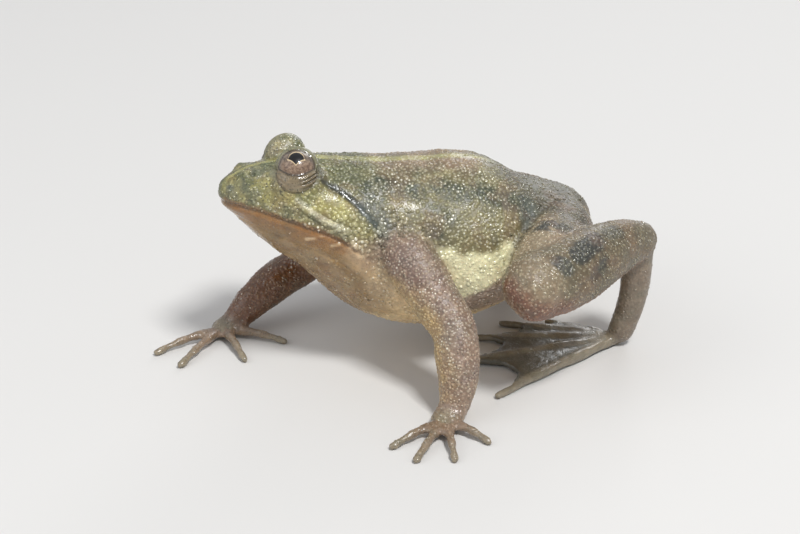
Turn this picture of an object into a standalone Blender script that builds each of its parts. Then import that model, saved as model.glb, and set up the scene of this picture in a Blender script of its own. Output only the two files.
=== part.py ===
"""Green puddle frog sitting at rest, life size, as one body parted by thin cuts.

The frog faces -Y and its left side is +X. Shapes are modelled in millimetres and scaled to metres last.
"""

import math

import bmesh
import bpy
import numpy as np
from mathutils import Matrix, Vector

MM = 0.001
NAME = "green_puddle_frog"

# Stations along the head and trunk: y, top, widest height, bottom, half width
TRUNK = (
    (0.30, 17.25, 16.75, 16.25, 0.55),
    (0.55, 17.55, 16.55, 15.55, 1.20),
    (1.10, 17.95, 16.35, 14.85, 1.90),
    (2.10, 18.50, 16.00, 13.85, 2.75),
    (3.40, 18.90, 15.60, 12.45, 3.60),
    (5.00, 19.00, 15.10, 10.95, 4.40),
    (7.00, 19.00, 14.50, 9.35, 5.20),
    (9.00, 19.05, 13.60, 7.10, 5.80),
    (11.50, 18.80, 12.20, 5.05, 6.35),
    (15.00, 18.40, 10.70, 3.35, 7.00),
    (18.50, 18.15, 10.10, 2.95, 7.70),
    (21.50, 18.10, 9.90, 3.45, 8.00),
    (24.50, 17.15, 9.90, 4.45, 7.70),
    (27.50, 15.25, 10.10, 5.75, 6.70),
    (30.50, 14.35, 10.50, 7.35, 5.20),
    (32.50, 13.35, 10.80, 8.90, 3.50),
    (33.20, 12.40, 10.90, 9.90, 2.20),
    (33.45, 11.60, 10.90, 10.30, 1.10),
)
TRUNK_SEGMENTS = 40
ROW_STEPS = 3

# The trunk and head lean to the right on their long axis, at this height and by this many degrees
LEAN_HEIGHT = 8.5
LEAN = math.radians(8.0)

# Eyes
EYE_CENTRE = (2.80, 6.60, 18.80)
EYE_AXIS = (0.86, -0.22, 0.46)
EYE_RADIUS = 1.60
SOCKET_RADIUS = 1.75
LID_RADIUS = 2.00
# The opening between the lids: radius, share of it upward, rise over the eye's axis, start, depth and flare
OPENING_RADIUS = 1.42
OPENING_TALL = 0.80
OPENING_RISE = 0.30
OPENING_START = 0.60
OPENING_DEPTH = 2.00
OPENING_FLARE = 1.10
BROW_CENTRE = (2.60, 6.75, 17.35)
BROW_SIZE = (2.15, 2.75, 1.80)

# Nostrils and the line of the mouth, in y and z
NOSTRIL = (1.62, 2.95, 18.36)
NOSTRIL_RADIUS = 0.26
MOUTH = (
    (-1.0, 16.15), (0.9, 16.0), (2.9, 15.6), (4.6, 14.95), (6.4, 14.25),
    (8.2, 13.55), (9.6, 12.8), (11.0, 11.7), (12.6, 10.4),
)
MOUTH_HALF_WIDTH = 7.5
NECK_Y = 11.7
# What the cut at the neck adds to the trunk there: y, top, widest height, bottom, half width
NECK_MARGIN = (0.0, 1.2, 0.0, -0.9, 0.35)
LIP_RISE = 0.16
LIP_OFFSET = 0.42
LIP_WIDTH = 0.28
LIP_FADE = 2.5

# Limbs: x, y, z, radius across, radius up
ARM_LEFT = (
    (4.60, 14.40, 12.60, 2.00, 2.20),
    (6.60, 15.40, 11.30, 2.30, 2.30),
    (8.90, 16.70, 9.00, 2.10, 2.15),
    (10.80, 17.80, 7.10, 1.90, 1.95),
    (12.10, 17.80, 5.20, 1.95, 1.95),
    (13.20, 17.50, 3.10, 1.65, 1.60),
    (14.00, 17.00, 1.50, 1.35, 1.15),
)
ARM_RIGHT = (
    (-4.90, 16.00, 11.00, 1.90, 2.10),
    (-7.20, 14.90, 9.50, 2.05, 2.10),
    (-8.60, 12.20, 7.30, 1.95, 1.95),
    (-8.80, 9.00, 4.90, 1.80, 1.80),
    (-8.30, 6.60, 4.00, 1.85, 1.85),
    (-7.40, 4.30, 2.80, 1.65, 1.60),
    (-6.60, 2.40, 1.55, 1.35, 1.15),
)
THIGH_LEFT = (
    (2.00, 30.20, 11.40, 2.70, 2.80),
    (4.60, 29.30, 11.30, 3.10, 3.20),
    (8.00, 27.50, 11.00, 3.30, 3.40),
    (11.20, 25.30, 10.60, 2.95, 3.10),
    (13.00, 24.20, 11.10, 2.50, 2.80),
)
SHANK_LEFT = (
    (12.70, 24.10, 11.20, 2.60, 2.70),
    (11.80, 26.60, 11.10, 2.75, 3.10),
    (9.80, 29.80, 11.15, 2.65, 3.10),
    (7.60, 33.30, 11.25, 2.10, 2.60),
    (5.70, 36.10, 10.75, 1.75, 1.85),
)
TARSUS_LEFT = (
    (5.60, 36.00, 10.80, 1.60, 1.60),
    (5.50, 36.30, 8.20, 1.30, 1.45),
    (5.30, 36.10, 4.60, 1.15, 1.30),
    (4.80, 35.40, 1.50, 1.15, 1.20),
)
THIGH_RIGHT = (
    (-2.40, 30.20, 10.60, 2.70, 2.80),
    (-5.00, 28.80, 10.20, 3.10, 3.20),
    (-8.60, 26.00, 9.30, 3.20, 3.30),
    (-11.80, 23.30, 8.50, 2.90, 3.00),
    (-13.40, 21.80, 8.20, 2.50, 2.70),
)
SHANK_RIGHT = (
    (-13.10, 21.60, 8.30, 2.50, 2.60),
    (-12.50, 24.00, 8.40, 2.70, 2.90),
    (-11.20, 27.50, 8.50, 2.60, 2.80),
    (-9.70, 30.70, 8.40, 2.10, 2.20),
    (-8.40, 33.10, 8.20, 1.70, 1.75),
)
TARSUS_RIGHT = (
    (-8.30, 33.00, 8.40, 1.55, 1.55),
    (-8.40, 32.30, 6.30, 1.30, 1.40),
    (-8.60, 30.90, 3.80, 1.15, 1.30),
    (-8.90, 29.10, 1.50, 1.15, 1.20),
)
LIMB_SEGMENTS = 20
# Angles of the rings that round off the end of a limb or digit
END_ANGLES = (30.0, 60.0, 80.0)

# Hands: centre of the palm and the tips of the four fingers, all on the floor
PALM_LEFT = (15.20, 15.90)
FINGERS_LEFT = ((17.40, 10.70), (20.00, 12.00), (20.70, 15.10), (18.70, 18.60))
PALM_RIGHT = (-6.10, 0.90)
FINGERS_RIGHT = ((-3.80, -5.60), (-0.90, -3.90), (-0.50, 1.80), (-2.90, 6.00))
PALM_RADIUS = 1.45
# From wrist to palm: share of the way, height, share of the palm's radius across, radius up
PALM_ROWS = ((0.0, 1.35, 0.85, 1.00), (0.5, 1.05, 0.95, 0.85), (1.0, 0.80, 1.00, 0.65))
FINGER_RADIUS = 0.50
DIGIT_TIP_RADIUS = 0.38
FINGER_ARCH = 0.35

# Feet: end of the tarsus and the tips of the five toes, inner toe first
ANKLE_LEFT = (4.75, 35.20)
TOES_LEFT = ((-0.40, 30.20), (-1.20, 26.00), (0.70, 22.20), (5.30, 19.00), (11.60, 21.60))
ANKLE_RIGHT = (-8.90, 28.90)
TOES_RIGHT = ((-6.00, 21.90), (-7.30, 18.20), (-10.30, 15.40), (-14.60, 12.70), (-18.00, 16.70))
TOE_RADIUS = 0.52
TOE_ARCH = 0.10
DIGIT_SHARES = (0.0, 0.35, 0.7, 1.0)
WEB_TOE_REACH = 0.90
WEB_DIP = 0.74
WEB_SHARES = (0.3, 0.7)
WEB_UNDER = 0.25
WEB_THICKNESS = 0.58
DIGIT_SEGMENTS = 12

# Surface
VOXEL = 0.20
SMOOTH_PASSES = 3
FLAT_DEPTH = 0.15
FLESH_TRIANGLES = 12000
SOLE_HEIGHT = 1.6
HEAD_WEIGHT = 0.85
FOOT_WEIGHT = 0.72

# Cuts between the nodes: centre, normal, radius
GAP = 0.30
DISC_CUTS = (
    ((8.00, 16.30, 9.60), (0.95, -0.12, -0.18), 3.5),
    ((10.80, 17.80, 7.10), (0.58, 0.13, -0.80), 2.7),
    ((13.75, 17.20, 2.00), (0.44, -0.22, -0.87), 1.9),
    ((-8.45, 12.70, 7.75), (-0.40, -0.72, -0.57), 2.7),
    ((-8.80, 9.00, 4.90), (0.05, -0.80, -0.55), 2.5),
    ((-6.85, 3.00, 1.95), (0.40, -0.80, -0.50), 2.0),
    ((5.55, 36.25, 8.30), (0.03, 0.00, 1.00), 2.2),
    ((-8.40, 32.25, 5.95), (0.00, 0.25, 0.95), 2.6),
    ((4.90, 35.60, 2.20), (0.10, 0.15, 1.00), 2.0),
    ((-8.80, 29.70, 2.20), (0.05, 0.50, 0.85), 1.9),
)
# Upright cuts between thigh and folded shank, then between thigh and flank: two ends and a height
UPRIGHT_CUTS = (
    ((16.30, 21.00), (4.00, 34.20), 11.0),
    ((-16.40, 18.20), (-5.30, 32.10), 8.5),
    ((8.90, 21.40), (4.80, 33.35), 11.0),
    ((-9.30, 19.60), (-5.50, 31.90), 9.2),
)
UPRIGHT_HEIGHT = 11.0

# A point inside each piece of flesh
SEEDS = {
    "head": (0.0, 7.0, 17.5),
    "lower_jaw": (0.0, 6.5, 12.0),
    "torso": (0.0, 21.0, 10.5),
    "upper_arm_left": (9.4, 17.0, 8.5),
    "forearm_left": (12.3, 17.7, 4.6),
    "hand_left": (16.0, 15.5, 0.8),
    "upper_arm_right": (-8.3, 11.2, 6.6),
    "forearm_right": (-7.7, 6.0, 3.4),
    "hand_right": (-5.0, 1.2, 0.8),
    "thigh_left": (9.2, 25.6, 10.8),
    "shank_left": (9.8, 30.3, 11.0),
    "tarsus_left": (5.3, 36.2, 5.5),
    "foot_left": (4.5, 28.0, 0.6),
    "thigh_right": (-9.6, 24.3, 9.2),
    "shank_right": (-10.8, 27.8, 8.7),
    "tarsus_right": (-8.0, 30.8, 5.0),
    "foot_right": (-10.5, 21.0, 0.6),
}

# Colour, roughness
SKIN = {
    "head": ((0.17, 0.19, 0.08), 0.45),
    "lower_jaw": ((0.42, 0.27, 0.16), 0.45),
    "torso": ((0.17, 0.15, 0.08), 0.45),
    "upper_arm": ((0.16, 0.11, 0.09), 0.45),
    "forearm": ((0.20, 0.14, 0.10), 0.45),
    "hand": ((0.26, 0.19, 0.13), 0.45),
    "thigh": ((0.21, 0.17, 0.11), 0.45),
    "shank": ((0.19, 0.16, 0.10), 0.45),
    "tarsus": ((0.18, 0.15, 0.11), 0.45),
    "foot": ((0.16, 0.15, 0.12), 0.45),
}
EYE = ((0.16, 0.13, 0.10), 0.08)


def clear_scene():
    for obj in list(bpy.data.objects):
        bpy.data.objects.remove(obj, do_unlink=True)


def make_collection(name, hidden):
    collection = bpy.data.collections.new(name)
    bpy.context.scene.collection.children.link(collection)
    collection.hide_render = hidden
    return collection


def add_object(name, bm, collection):
    """Turns the bmesh into an object of the collection and frees it."""
    bmesh.ops.recalc_face_normals(bm, faces=bm.faces)
    mesh = bpy.data.meshes.new(name)
    bm.to_mesh(mesh)
    bm.free()
    obj = bpy.data.objects.new(name, mesh)
    collection.objects.link(obj)
    return obj


def smooth_step(value):
    value = min(max(value, 0.0), 1.0)
    return value * value * (3.0 - 2.0 * value)


def leaned(point, turn=LEAN):
    """A point of the upright body, moved to where the leaning body has it."""
    x, y, z = point
    rise = z - LEAN_HEIGHT
    level = x * math.cos(turn) - rise * math.sin(turn)
    return Vector((level, y, LEAN_HEIGHT + x * math.sin(turn) + rise * math.cos(turn)))


def upright(point):
    """The reverse of leaned."""
    return leaned(point, -LEAN)


def smooth_rows(rows, steps):
    """Rows of numbers with a smooth curve through them, in this many steps from each row to the next."""
    rows = np.array(rows)
    ends = np.vstack((2 * rows[0] - rows[1], rows, 2 * rows[-1] - rows[-2]))
    found = []
    for before, start, stop, after in zip(ends, ends[1:], ends[2:], ends[3:]):
        for t in np.arange(steps) / steps:
            bend = (2 * before - 5 * start + 4 * stop - after) * t * t
            twist = (3 * start - before - 3 * stop + after) * t * t * t
            found.append(start + 0.5 * ((stop - before) * t + bend + twist))
    found.append(rows[-1])
    return found


def loft(bm, rings):
    """Skins a row of rings of points and closes both ends."""
    loops = []
    for points in rings:
        verts = bmesh.ops.create_circle(bm, segments=len(points), radius=1.0)["verts"]
        for vert, point in zip(verts, points):
            vert.co = point
        edges = dict.fromkeys(edge for vert in verts for edge in vert.link_edges)
        loops.append(list(edges))
    for first, second in zip(loops, loops[1:]):
        bmesh.ops.bridge_loops(bm, edges=first + second)
    for end in (loops[0], loops[-1]):
        bmesh.ops.edgeloop_fill(bm, edges=end)


def round_angles(count):
    return [2.0 * math.pi * step / count for step in range(count)]


def trunk_ring(row):
    y, top, widest, bottom, half_width = row
    ring = []
    for angle in round_angles(TRUNK_SEGMENTS):
        reach = top - widest if math.sin(angle) > 0.0 else widest - bottom
        ring.append(leaned((half_width * math.cos(angle), y, widest + reach * math.sin(angle))))
    return ring


def tube_rings(rows, segments):
    """Rings across a path of rows: x, y, z, radius across, radius up."""
    rings = []
    centres = [Vector(row[:3]) for row in rows]
    for place, row in enumerate(rows):
        ahead = centres[min(place + 1, len(rows) - 1)]
        behind = centres[max(place - 1, 0)]
        along = (ahead - behind).normalized()
        side = along.cross(Vector((0.0, 0.0, 1.0)))
        if side.length < 0.3:
            side = along.cross(Vector((0.0, 1.0, 0.0)))
        side.normalize()
        up = side.cross(along)
        rings.append([
            centres[place] + side * row[3] * math.cos(angle) + up * row[4] * math.sin(angle)
            for angle in round_angles(segments)
        ])
    return rings


def round_ends(rows):
    """The rows of a path with a short dome of smaller rings at each end."""
    rows = [np.array(row, float) for row in rows]
    capped = []
    for end, inner, place in ((rows[0], rows[1], 0), (rows[-1], rows[-2], -1)):
        along = end[:3] - inner[:3]
        along /= np.linalg.norm(along)
        dome = []
        for angle in END_ANGLES:
            turn = math.radians(angle)
            radii = end[3:] * math.cos(turn)
            dome.append(np.concatenate((end[:3] + along * end[3:].mean() * math.sin(turn), radii)))
        capped.append(dome[::-1] if place == 0 else dome)
    return capped[0] + rows + capped[1]


def add_tube(bm, rows, segments):
    loft(bm, tube_rings(round_ends(smooth_rows(rows, ROW_STEPS)), segments))


def add_digit(bm, start, tip, radius, arch):
    """A finger or toe from the palm or ankle to its tip, arched up a little."""
    start = Vector((*start, radius + FLAT_DEPTH))
    tip = Vector((*tip, DIGIT_TIP_RADIUS))
    rows = []
    for share in DIGIT_SHARES:
        point = start.lerp(tip, share) + Vector((0.0, 0.0, arch * math.sin(math.pi * share)))
        size = radius + (DIGIT_TIP_RADIUS - radius) * share
        rows.append((*point, size, size))
    add_tube(bm, rows, DIGIT_SEGMENTS)


def add_palm(bm, wrist, palm):
    rows = []
    for share, height, across, up in PALM_ROWS:
        place = Vector(wrist).lerp(Vector(palm), share)
        rows.append((*place, height, PALM_RADIUS * across, up))
    add_tube(bm, rows, LIMB_SEGMENTS)


def add_web(bm, ankle, toes):
    """The skin between the toes: a thin slab with an edge that dips from toe to toe."""
    ankle = Vector((*ankle, 0.0))
    tips = [Vector((*toe, 0.0)) for toe in toes]
    outline = [ankle]
    for place, tip in enumerate(tips):
        outline.append(ankle.lerp(tip, WEB_TOE_REACH))
        if place + 1 < len(tips):
            for share in WEB_SHARES:
                between = tip.lerp(tips[place + 1], share)
                outline.append(ankle.lerp(between, WEB_DIP))
    verts = bmesh.ops.create_circle(bm, segments=len(outline), radius=1.0)["verts"]
    for vert, point in zip(verts, outline):
        vert.co = point + Vector((0.0, 0.0, WEB_UNDER))
    edges = dict.fromkeys(edge for vert in verts for edge in vert.link_edges)
    face = bmesh.ops.contextual_create(bm, geom=list(edges))["faces"]
    raised = bmesh.ops.extrude_face_region(bm, geom=face, use_keep_orig=True)["geom"]
    for item in raised:
        if isinstance(item, bmesh.types.BMVert):
            item.co.z += WEB_THICKNESS


def add_ball(bm, centre, radius):
    bmesh.ops.create_uvsphere(
        bm, u_segments=24, v_segments=14, radius=radius, matrix=Matrix.Translation(centre)
    )


def add_brow(bm, side):
    """A low swelling round the eye that carries it into the head."""
    place = Matrix.Translation(leaned(mirrored(BROW_CENTRE, side))) @ Matrix.Rotation(-LEAN, 4, "Y")
    size = Matrix.Diagonal((*BROW_SIZE, 1.0))
    bmesh.ops.create_uvsphere(bm, u_segments=32, v_segments=20, radius=1.0, matrix=place @ size)


def mirrored(point, side):
    return (point[0] * side, point[1], point[2])


def add_flesh(collection):
    """All that is skin, as overlapping closed shapes."""
    bm = bmesh.new()
    loft(bm, [trunk_ring(row) for row in smooth_rows(TRUNK, ROW_STEPS)])
    for side in (1, -1):
        add_ball(bm, leaned(mirrored(EYE_CENTRE, side)), LID_RADIUS)
        add_brow(bm, side)
    hind = (THIGH_LEFT, THIGH_RIGHT, SHANK_LEFT, SHANK_RIGHT, TARSUS_LEFT, TARSUS_RIGHT)
    for rows in (ARM_LEFT, ARM_RIGHT, *hind):
        add_tube(bm, rows, LIMB_SEGMENTS)
    for arm, palm, tips in ((ARM_LEFT, PALM_LEFT, FINGERS_LEFT), (ARM_RIGHT, PALM_RIGHT, FINGERS_RIGHT)):
        add_palm(bm, arm[-1][:2], palm)
        for tip in tips:
            add_digit(bm, palm, tip, FINGER_RADIUS, FINGER_ARCH)
    for ankle, tips in ((ANKLE_LEFT, TOES_LEFT), (ANKLE_RIGHT, TOES_RIGHT)):
        add_web(bm, ankle, tips)
        for tip in tips:
            add_digit(bm, ankle, tip, TOE_RADIUS, TOE_ARCH)
    return add_object("flesh", bm, collection)


def apply_modifiers(obj):
    graph = bpy.context.evaluated_depsgraph_get()
    mesh = bpy.data.meshes.new_from_object(obj.evaluated_get(graph))
    obj.modifiers.clear()
    old = obj.data
    obj.data = mesh
    bpy.data.meshes.remove(old)


def fuse(obj):
    """One closed surface round the overlapping shapes."""
    remesh = obj.modifiers.new("fuse", "REMESH")
    remesh.mode = "VOXEL"
    remesh.voxel_size = VOXEL
    smooth = obj.modifiers.new("smooth", "SMOOTH")
    smooth.factor = 0.5
    smooth.iterations = SMOOTH_PASSES
    apply_modifiers(obj)


def mouth_height(y):
    ys, zs = zip(*MOUTH)
    return float(np.interp(y, ys, zs))


def shape_lips_and_soles(obj):
    """Raises the lips either side of the mouth, and flattens what stands on the floor."""
    bm = bmesh.new()
    bm.from_mesh(obj.data)
    bm.normal_update()
    for vert in bm.verts:
        if vert.co.y < NECK_Y and vert.co.z > LEAN_HEIGHT:
            place = upright(vert.co)
            offset = abs(place.z - mouth_height(place.y)) - LIP_OFFSET
            fade = smooth_step((NECK_Y - place.y) / LIP_FADE)
            vert.co += vert.normal * LIP_RISE * fade * math.exp(-((offset / LIP_WIDTH) ** 2))
    for vert in bm.verts:
        vert.co.z = max(vert.co.z, FLAT_DEPTH) - FLAT_DEPTH
    bm.to_mesh(obj.data)
    bm.free()


def thin_out(obj):
    """Fewer triangles, with more of them kept on the head, hands and feet."""
    group = obj.vertex_groups.new(name="fine")
    for vert in obj.data.vertices:
        on_head = vert.co.y < NECK_Y and vert.co.z > LEAN_HEIGHT
        on_foot = vert.co.z < SOLE_HEIGHT
        if on_head or on_foot:
            group.add([vert.index], HEAD_WEIGHT if on_head else FOOT_WEIGHT, "REPLACE")
    triangles = sum(len(face.vertices) - 2 for face in obj.data.polygons)
    decimate = obj.modifiers.new("thin_out", "DECIMATE")
    decimate.ratio = FLESH_TRIANGLES / triangles
    decimate.vertex_group = group.name
    decimate.invert_vertex_group = True
    decimate.vertex_group_factor = 1.0
    decimate.use_collapse_triangulate = True
    apply_modifiers(obj)


def facing(normal):
    """Rotation that takes +Z to the normal."""
    return Vector(normal).to_track_quat("Z", "Y").to_matrix().to_4x4()


def cut_disc(collection, centre, normal, radius):
    bm = bmesh.new()
    bmesh.ops.create_cone(
        bm, cap_ends=True, segments=32, radius1=radius, radius2=radius, depth=GAP,
        matrix=Matrix.Translation(Vector(centre)) @ facing(normal),
    )
    add_object("cut_disc", bm, collection)


def cut_upright(collection, start, stop, height):
    bm = bmesh.new()
    start = Vector((*start, height))
    stop = Vector((*stop, height))
    along = stop - start
    turn = Matrix.Rotation(math.atan2(along.y, along.x), 4, "Z")
    size = Matrix.Diagonal((along.length, GAP, UPRIGHT_HEIGHT, 1.0))
    bmesh.ops.create_cube(bm, size=1.0, matrix=Matrix.Translation((start + stop) / 2) @ turn @ size)
    add_object("cut_upright", bm, collection)


def cut_neck(collection):
    """A slab in the shape of the neck, a little wider all round."""
    rows = [np.array(row) for row in TRUNK]
    ys = [row[0] for row in rows]
    row = np.array([np.interp(NECK_Y, ys, [each[column] for each in rows]) for column in range(5)])
    row += np.array(NECK_MARGIN)
    bm = bmesh.new()
    rings = []
    for shift in (-GAP / 2, GAP / 2):
        row[0] = NECK_Y + shift
        rings.append(trunk_ring(row))
    loft(bm, rings)
    add_object("cut_neck", bm, collection)


def cut_mouth(collection):
    """A strip that follows the line of the mouth right across the head."""
    half_gap = GAP / 2
    corners = (
        (MOUTH_HALF_WIDTH, half_gap), (-MOUTH_HALF_WIDTH, half_gap),
        (-MOUTH_HALF_WIDTH, -half_gap), (MOUTH_HALF_WIDTH, -half_gap),
    )
    bm = bmesh.new()
    rings = []
    for y, _ in MOUTH:
        y = min(y, NECK_Y)
        rings.append([leaned((x, y, mouth_height(y) + rise)) for x, rise in corners])
    loft(bm, rings)
    add_object("cut_mouth", bm, collection)


def cut_face(collection):
    """Sockets with the openings between the lids, and the nostrils."""
    for side in (1, -1):
        centre = leaned(mirrored(EYE_CENTRE, side))
        axis = leaned(Vector(mirrored(EYE_CENTRE, side)) + Vector(mirrored(EYE_AXIS, side))) - centre
        bm = bmesh.new()
        add_ball(bm, centre, SOCKET_RADIUS)
        add_object("cut_socket", bm, collection)
        bm = bmesh.new()
        turn = facing(axis)
        middle = centre + axis.normalized() * (OPENING_START + OPENING_DEPTH / 2)
        middle += turn.col[1].to_3d() * OPENING_RISE
        bmesh.ops.create_cone(
            bm, cap_ends=True, segments=24, radius1=OPENING_RADIUS, radius2=OPENING_RADIUS * OPENING_FLARE,
            depth=OPENING_DEPTH,
            matrix=Matrix.Translation(middle) @ turn @ Matrix.Diagonal((1.0, OPENING_TALL, 1.0, 1.0)),
        )
        add_object("cut_opening", bm, collection)
        bm = bmesh.new()
        place = Matrix.Translation(leaned(mirrored(NOSTRIL, side)))
        bmesh.ops.create_icosphere(bm, subdivisions=2, radius=NOSTRIL_RADIUS, matrix=place)
        add_object("cut_nostril", bm, collection)


def cut_apart(obj, cutters):
    for cut in DISC_CUTS:
        cut_disc(cutters, *cut)
    for cut in UPRIGHT_CUTS:
        cut_upright(cutters, *cut)
    cut_neck(cutters)
    cut_mouth(cutters)
    cut_face(cutters)
    for cutter in cutters.objects:
        cutter.hide_render = True
        cutter.display_type = "WIRE"
        cutter.location.z -= FLAT_DEPTH
    modifier = obj.modifiers.new("cuts", "BOOLEAN")
    modifier.operation = "DIFFERENCE"
    modifier.operand_type = "COLLECTION"
    modifier.collection = cutters
    modifier.solver = "EXACT"
    apply_modifiers(obj)


def middle_of(obj):
    return sum((vert.co for vert in obj.data.vertices), Vector()) / len(obj.data.vertices)


def separate(obj, collection):
    """Names each large piece for the seed nearest to its middle, and drops the crumbs of the cuts."""
    bpy.context.view_layer.objects.active = obj
    obj.select_set(True)
    bpy.ops.mesh.separate(type="LOOSE")
    pieces = sorted(collection.objects, key=lambda piece: -len(piece.data.vertices))
    for crumb in pieces[len(SEEDS):]:
        bpy.data.objects.remove(crumb, do_unlink=True)
    pieces = pieces[:len(SEEDS)]
    for name, seed in SEEDS.items():
        near = min(pieces, key=lambda piece: (middle_of(piece) - Vector(seed)).length)
        pieces.remove(near)
        near.name = name
        bm = bmesh.new()
        bm.from_mesh(near.data)
        bmesh.ops.triangulate(bm, faces=bm.faces)
        bmesh.ops.recalc_face_normals(bm, faces=bm.faces)
        bm.to_mesh(near.data)
        bm.free()


def add_eyes(collection):
    for name, side in (("eye_left", 1), ("eye_right", -1)):
        bm = bmesh.new()
        centre = leaned(mirrored(EYE_CENTRE, side))
        bmesh.ops.create_uvsphere(
            bm, u_segments=20, v_segments=12, radius=EYE_RADIUS,
            matrix=Matrix.Translation(centre - Vector((0.0, 0.0, FLAT_DEPTH))),
        )
        add_object(name, bm, collection)


def set_material(obj, colour, roughness):
    material = bpy.data.materials.new(obj.name)
    material.use_nodes = True
    shader = material.node_tree.nodes["Principled BSDF"]
    shader.inputs["Base Color"].default_value = (*colour, 1.0)
    shader.inputs["Roughness"].default_value = roughness
    shader.inputs["Metallic"].default_value = 0.0
    obj.data.materials.clear()
    obj.data.materials.append(material)


def finish(collection):
    """Scales to metres and puts the middle of the underside at the origin."""
    low = Vector((math.inf,) * 3)
    high = Vector((-math.inf,) * 3)
    for obj in collection.objects:
        for vert in obj.data.vertices:
            low = Vector(map(min, low, vert.co))
            high = Vector(map(max, high, vert.co))
    middle = Vector(((low.x + high.x) / 2, (low.y + high.y) / 2, low.z))
    for obj in collection.objects:
        obj.data.transform(Matrix.Scale(MM, 4) @ Matrix.Translation(-middle))
        obj.data.shade_smooth()
        if obj.name.startswith("eye"):
            set_material(obj, *EYE)
        else:
            set_material(obj, *SKIN[obj.name.removesuffix("_left").removesuffix("_right")])


def main():
    clear_scene()
    frog = make_collection(NAME, False)
    cutters = make_collection("cutters", True)
    flesh = add_flesh(frog)
    fuse(flesh)
    shape_lips_and_soles(flesh)
    thin_out(flesh)
    cut_apart(flesh, cutters)
    separate(flesh, frog)
    add_eyes(frog)
    for cutter in list(cutters.objects):
        bpy.data.objects.remove(cutter, do_unlink=True)
    finish(frog)


main()
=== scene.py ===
"""Skin, granules, eyes and studio of a green puddle frog, laid out as an add-on and run as a script.

The tables are in millimetres, in the frame the solids were modelled in: the frog faces -Y, its left is +X.
"""

import math

import bmesh
import bpy
import numpy as np
from mathutils import Matrix, Vector, noise
from mathutils.bvhtree import BVHTree


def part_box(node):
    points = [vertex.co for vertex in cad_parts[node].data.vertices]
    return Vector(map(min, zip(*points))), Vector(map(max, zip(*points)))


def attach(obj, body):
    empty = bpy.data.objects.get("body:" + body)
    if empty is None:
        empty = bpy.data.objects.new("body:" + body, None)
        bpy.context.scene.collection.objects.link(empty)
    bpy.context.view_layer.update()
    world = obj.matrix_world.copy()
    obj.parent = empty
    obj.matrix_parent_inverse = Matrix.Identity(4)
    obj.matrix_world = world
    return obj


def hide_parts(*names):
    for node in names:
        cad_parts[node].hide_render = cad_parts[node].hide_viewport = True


bl_info = {
    "name": "Green puddle frog",
    "version": (1, 0, 0),
    "blender": (4, 5, 0),
    "location": "3D View > Sidebar > Frog",
    "description": "Dresses the solids of a green puddle frog in skin, granules and eyes, in a pale studio",
    "category": "Object",
}

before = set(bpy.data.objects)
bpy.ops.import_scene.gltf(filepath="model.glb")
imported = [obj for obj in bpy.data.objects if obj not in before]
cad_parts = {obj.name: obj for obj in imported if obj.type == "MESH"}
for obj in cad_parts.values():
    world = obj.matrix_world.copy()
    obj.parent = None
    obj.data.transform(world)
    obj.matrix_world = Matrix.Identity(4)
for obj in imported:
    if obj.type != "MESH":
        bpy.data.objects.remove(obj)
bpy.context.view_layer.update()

MM = 0.001
# Further than any point is from any line
FAR = 1e9
SIDES = ("_left", "_right")

# Stations along the head and trunk: y, top, widest height, bottom, half width
TRUNK = (
    (0.30, 17.25, 16.75, 16.25, 0.55),
    (0.55, 17.55, 16.55, 15.55, 1.20),
    (1.10, 17.95, 16.35, 14.85, 1.90),
    (2.10, 18.50, 16.00, 13.85, 2.75),
    (3.40, 18.90, 15.60, 12.45, 3.60),
    (5.00, 19.00, 15.10, 10.95, 4.40),
    (7.00, 19.00, 14.50, 9.35, 5.20),
    (9.00, 19.05, 13.60, 7.10, 5.80),
    (11.50, 18.80, 12.20, 5.05, 6.35),
    (15.00, 18.40, 10.70, 3.35, 7.00),
    (18.50, 18.15, 10.10, 2.95, 7.70),
    (21.50, 18.10, 9.90, 3.45, 8.00),
    (24.50, 17.15, 9.90, 4.45, 7.70),
    (27.50, 15.25, 10.10, 5.75, 6.70),
    (30.50, 14.35, 10.50, 7.35, 5.20),
    (32.50, 13.35, 10.80, 8.90, 3.50),
    (33.20, 12.40, 10.90, 9.90, 2.20),
    (33.45, 11.60, 10.90, 10.30, 1.10),
)
TRUNK_SEGMENTS = 64
ROW_STEPS = 4
# Where a limb's cross direction is shorter than this, the limb stands nearly upright
STEEP = 0.3
# Angles of the rings that round off a limb's ends
CAP_ANGLES = (30.0, 60.0, 80.0)
# The head's mesh is made finer up to this y, above this z and above this x
HEAD_REGION = (12.4, 8.2, -6.9)
# How far each pass of smoothing moves a point towards its neighbours
SMOOTH_SHARE = 0.5
# How softly one part's looks pass into the next one's
PART_BLEND = 0.35
# Step along a path that is laid on the skin, and what each seed moves the noise by
PATH_STEP = 0.6
NOISE_STEPS = (13.7, 5.1, 9.3)

# The trunk and head lean to the right on their long axis, at this height and by this many degrees
LEAN_HEIGHT = 8.5
LEAN = math.radians(8.0)

# The eye, its lids and the brow under it, on the upright body
EYE_CENTRE = (2.80, 6.60, 18.80)
EYE_AXIS = (0.86, -0.22, 0.46)
EYE_RADIUS = 1.60
LID_RADIUS = 2.00
BROW_CENTRE = (2.60, 6.75, 17.35)
BROW_SIZE = (2.15, 2.75, 1.80)
EYE_SEGMENTS = (64, 40)
LID_SEGMENTS = (48, 32)
EYE_REACH = 2.75
LID_REACH = 3.2
LID_BACK = -0.9
LID_OPENING = math.radians(70.0)
LID_INSIDE = 1.30
LID_EDGE = 1.64
LID_SHOULDER = 0.20
LID_TOP = 1.93
LID_SIDE = 1.86
# The lower lid's edge across the eye: its height at the middle, and how it curves up to both sides
LOWER_EDGE = -0.87
LOWER_CURVE = 0.32
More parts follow.
